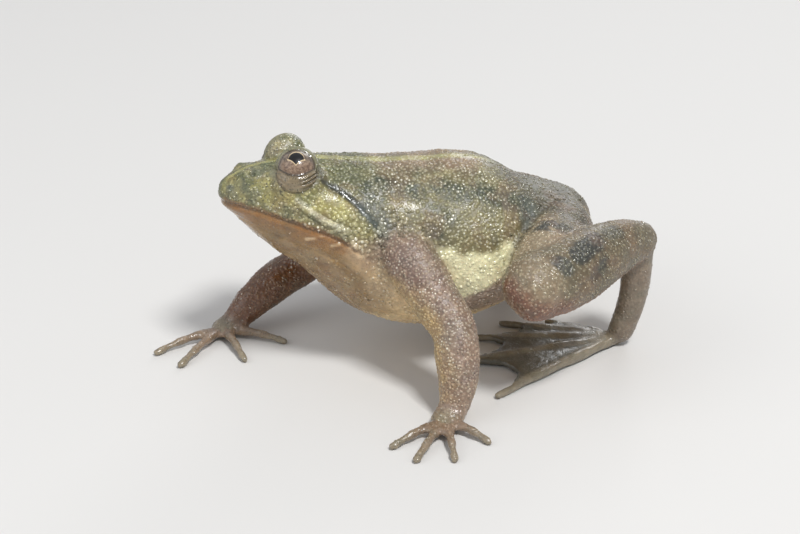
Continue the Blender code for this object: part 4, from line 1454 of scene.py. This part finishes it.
def scatter_tree(name, dome, settings, spacing):
    """Nodes that stand a dome on each of the points scattered by the attribute of this name, as one mesh."""
    tree = bpy.data.node_groups.new(name, "GeometryNodeTree")
    tree.interface.new_socket("Geometry", in_out="INPUT", socket_type="NodeSocketGeometry")
    tree.interface.new_socket("Geometry", in_out="OUTPUT", socket_type="NodeSocketGeometry")

    def node(kind, settings=None, inputs=None):
        made = tree.nodes.new(kind)
        for key, value in (settings or {}).items():
            setattr(made, key, value)
        for key, value in (inputs or {}).items():
            if isinstance(value, bpy.types.NodeSocket):
                tree.links.new(value, made.inputs[key])
            else:
                made.inputs[key].default_value = value
        return made

    start = node("NodeGroupInput")
    density = node("GeometryNodeInputNamedAttribute", {"data_type": "FLOAT"}, {"Name": name})
    width = node("GeometryNodeInputNamedAttribute", {"data_type": "FLOAT"}, {"Name": "grain_size"})
    points = node("GeometryNodeDistributePointsOnFaces", {"distribute_method": "POISSON"}, {
        "Mesh": start.outputs[0], "Distance Min": spacing, "Density Max": GRANULE_TRIES / spacing ** 2,
        "Density Factor": density.outputs[0], "Seed": settings.seed,
    })
    vary = node("FunctionNodeRandomValue", {"data_type": "FLOAT"}, {"Seed": settings.seed + 1})
    vary.inputs[2].default_value, vary.inputs[3].default_value = GRANULE_VARIES
    size = node("ShaderNodeMath", {"operation": "MULTIPLY"}, {0: vary.outputs[1], 1: width.outputs[0]})
    glint = node("FunctionNodeRandomValue", {"data_type": "FLOAT"}, {"Seed": settings.seed + 2})
    shining = node("GeometryNodeStoreNamedAttribute", {"data_type": "FLOAT", "domain": "POINT"}, {
        "Geometry": points.outputs["Points"], "Name": "shine", "Value": glint.outputs[1],
    })
    flat = node("ShaderNodeCombineXYZ", None, {0: size.outputs[0], 1: size.outputs[0]})
    tall = node("ShaderNodeMath", {"operation": "MULTIPLY"}, {0: size.outputs[0], 1: GRANULE_HEIGHT})
    tree.links.new(tall.outputs[0], flat.inputs[2])
    shape = node("GeometryNodeObjectInfo", None, {"Object": dome})
    placed = node("GeometryNodeInstanceOnPoints", None, {
        "Points": shining.outputs[0], "Instance": shape.outputs["Geometry"],
        "Rotation": points.outputs["Rotation"], "Scale": flat.outputs[0],
    })
    joined = node("GeometryNodeRealizeInstances", None, {"Geometry": placed.outputs[0]})
    end = node("NodeGroupOutput")
    tree.links.new(joined.outputs[0], end.inputs[0])
    return tree


def patch_map(mesh):
    """Gives each granule a small patch of the map, at its root's place on the unwrapped skin."""
    count = len(mesh.vertices)
    roots = mesh.attributes["OFBake"]
    width = 2 if roots.data_type == "FLOAT2" else 3
    root = np.empty(count * width, np.float32)
    roots.data.foreach_get("vector", root)
    dome = np.empty(count * 3, np.float32)
    mesh.attributes["dome"].data.foreach_get("vector", dome)
    flat = root.reshape(-1, width)[:, :2] + PATCH_HALF * dome.reshape(-1, 3)[:, :2]
    mesh.attributes.remove(roots)
    corners = np.empty(len(mesh.loops), np.int32)
    mesh.loops.foreach_get("vertex_index", corners)
    layer = mesh.uv_layers.new(name="OFBake")
    layer.data.foreach_set("uv", flat[corners].astype(np.float32).ravel())


class FROG_OT_granules(bpy.types.Operator):
    """Scatters low round granules over the skin"""

    bl_idname = "frog.granules"
    bl_label = "Frog granules"

    def execute(self, context):
        settings = context.scene.frog_granules
        skin = bpy.data.objects["skin"]
        dome = granule_dome()
        for name, closeness in GRANULE_PIECES.items():
            obj = bpy.data.objects.new("granules_" + name, skin.data.copy())
            context.scene.collection.objects.link(obj)
            obj.data.transform(Matrix.Scale(1.0 / MM, 4))
            modifier = obj.modifiers.new("scatter", "NODES")
            spacing = settings.spacing * closeness
            modifier.node_group = scatter_tree("grains_" + name, dome, settings, spacing)
            apply_modifiers(obj)
            if not obj.data.polygons:
                raise RuntimeError("no granules grew on " + name)
            obj.data.transform(Matrix.Scale(MM, 4))
            patch_map(obj.data)
            obj.data.shade_smooth()
            obj.data.materials.clear()
            obj.data.materials.append(skin.data.materials[0])
            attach(obj, "root")
        bpy.data.objects.remove(dome, do_unlink=True)
        return {"FINISHED"}


class FROG_OT_eyes(bpy.types.Operator):
    """Makes fine eyeballs in place of the solid ones"""

    bl_idname = "frog.eyes"
    bl_label = "Frog eyes"

    def execute(self, context):
        material = eye_material(context.scene.frog_eyes)
        for name, side in (("eye_left", 1), ("eye_right", -1)):
            centre, right, up, axis = eye_directions(side)
            turn = Matrix((right, up, axis)).transposed().to_4x4()
            bm = bmesh.new()
            add_ball(bm, EYE_SEGMENTS, EYE_RADIUS)
            places = np.array([tuple(vert.co / EYE_RADIUS) for vert in bm.verts])
            bmesh.ops.transform(bm, matrix=Matrix.Translation(centre) @ turn, verts=bm.verts)
            bmesh.ops.translate(bm, vec=(0.0, 0.0, -FLAT_DEPTH), verts=bm.verts)
            obj = link_object("fine_" + name, bm)
            store(obj.data, "eye_place", "FLOAT_VECTOR", places)
            to_metres(obj)
            obj.data.shade_smooth()
            obj.data.materials.append(material)
            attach(obj, "root")
            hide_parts(name)
        return {"FINISHED"}


def area_light(name, place, target, size, power):
    light = bpy.data.lights.new(name, "AREA")
    light.size = size
    light.energy = power
    obj = bpy.data.objects.new(name, light)
    obj.location = place
    obj.rotation_euler = (place - target).to_track_quat("Z", "Y").to_euler()
    bpy.context.scene.collection.objects.link(obj)
    return obj


class FROG_OT_stage(bpy.types.Operator):
    """Sets the floor, lights, world and camera"""

    bl_idname = "frog.stage"
    bl_label = "Pale studio"

    def execute(self, context):
        settings = context.scene.frog_stage
        bm = bmesh.new()
        bmesh.ops.create_grid(bm, x_segments=1, y_segments=1, size=FLOOR_HALF)
        floor = link_object("floor", bm)
        floor.data.materials.append(floor_material(settings))
        azimuth, elevation = settings.azimuth, settings.elevation
        level = math.cos(elevation)
        back = Vector((math.sin(azimuth) * level, -math.cos(azimuth) * level, math.sin(elevation)))
        target = (Vector(TARGET) - Vector((0.0, 0.0, FLAT_DEPTH)) - ORIGIN) * MM
        camera = bpy.data.objects.new("camera", bpy.data.cameras.new("camera"))
        camera.data.lens = LENS
        camera.data.sensor_width = SENSOR_WIDTH
        camera.data.clip_start = CLIP_START
        camera.location = target + back * settings.distance
        camera.rotation_euler = back.to_track_quat("Z", "Y").to_euler()
        context.scene.collection.objects.link(camera)
        context.scene.camera = camera
        right = Vector((math.cos(azimuth), math.sin(azimuth), 0.0))
        up = back.cross(right)
        for name, power, away, size, (ahead, aside, above) in LIGHTS:
            way = (back * ahead + right * aside + up * above).normalized()
            area_light(name, target + way * away, target, size, getattr(settings, power))
        world = bpy.data.worlds.new("pale_world")
        world.use_nodes = True
        background = world.node_tree.nodes["Background"]
        background.inputs["Color"].default_value = WORLD_COLOUR
        background.inputs["Strength"].default_value = WORLD_STRENGTH
        context.scene.world = world
        context.scene.view_settings.view_transform = "Standard"
        return {"FINISHED"}


class FROG_PT_panel(bpy.types.Panel):
    """Lists the frog's makers and their settings"""

    bl_idname = "FROG_PT_panel"
    bl_label = "Green puddle frog"
    bl_space_type = "VIEW_3D"
    bl_region_type = "UI"
    bl_category = "Frog"

    def draw(self, context):
        for operator, group in MAKERS:
            self.layout.operator(operator.bl_idname)
            settings = getattr(context.scene, group)
            for name in settings.__annotations__:
                self.layout.prop(settings, name)


SETTINGS = {
    "frog_skin": FrogSkinSettings,
    "frog_granules": FrogGranuleSettings,
    "frog_eyes": FrogEyeSettings,
    "frog_stage": FrogStageSettings,
}
MAKERS = (
    (FROG_OT_skin, "frog_skin"),
    (FROG_OT_granules, "frog_granules"),
    (FROG_OT_eyes, "frog_eyes"),
    (FROG_OT_stage, "frog_stage"),
)


def register():
    for group in SETTINGS.values():
        bpy.utils.register_class(group)
    for operator, _ in MAKERS:
        bpy.utils.register_class(operator)
    bpy.utils.register_class(FROG_PT_panel)
    for name, group in SETTINGS.items():
        setattr(bpy.types.Scene, name, bpy.props.PointerProperty(type=group))


def unregister():
    for name in SETTINGS:
        delattr(bpy.types.Scene, name)
    bpy.utils.unregister_class(FROG_PT_panel)
    for operator, _ in reversed(MAKERS):
        bpy.utils.unregister_class(operator)
    for group in reversed(SETTINGS.values()):
        bpy.utils.unregister_class(group)


def main():
    register()
    bpy.ops.frog.stage()
    bpy.ops.frog.skin()
    bpy.ops.frog.granules()
    bpy.ops.frog.eyes()


if __name__ == "__main__":
    main()
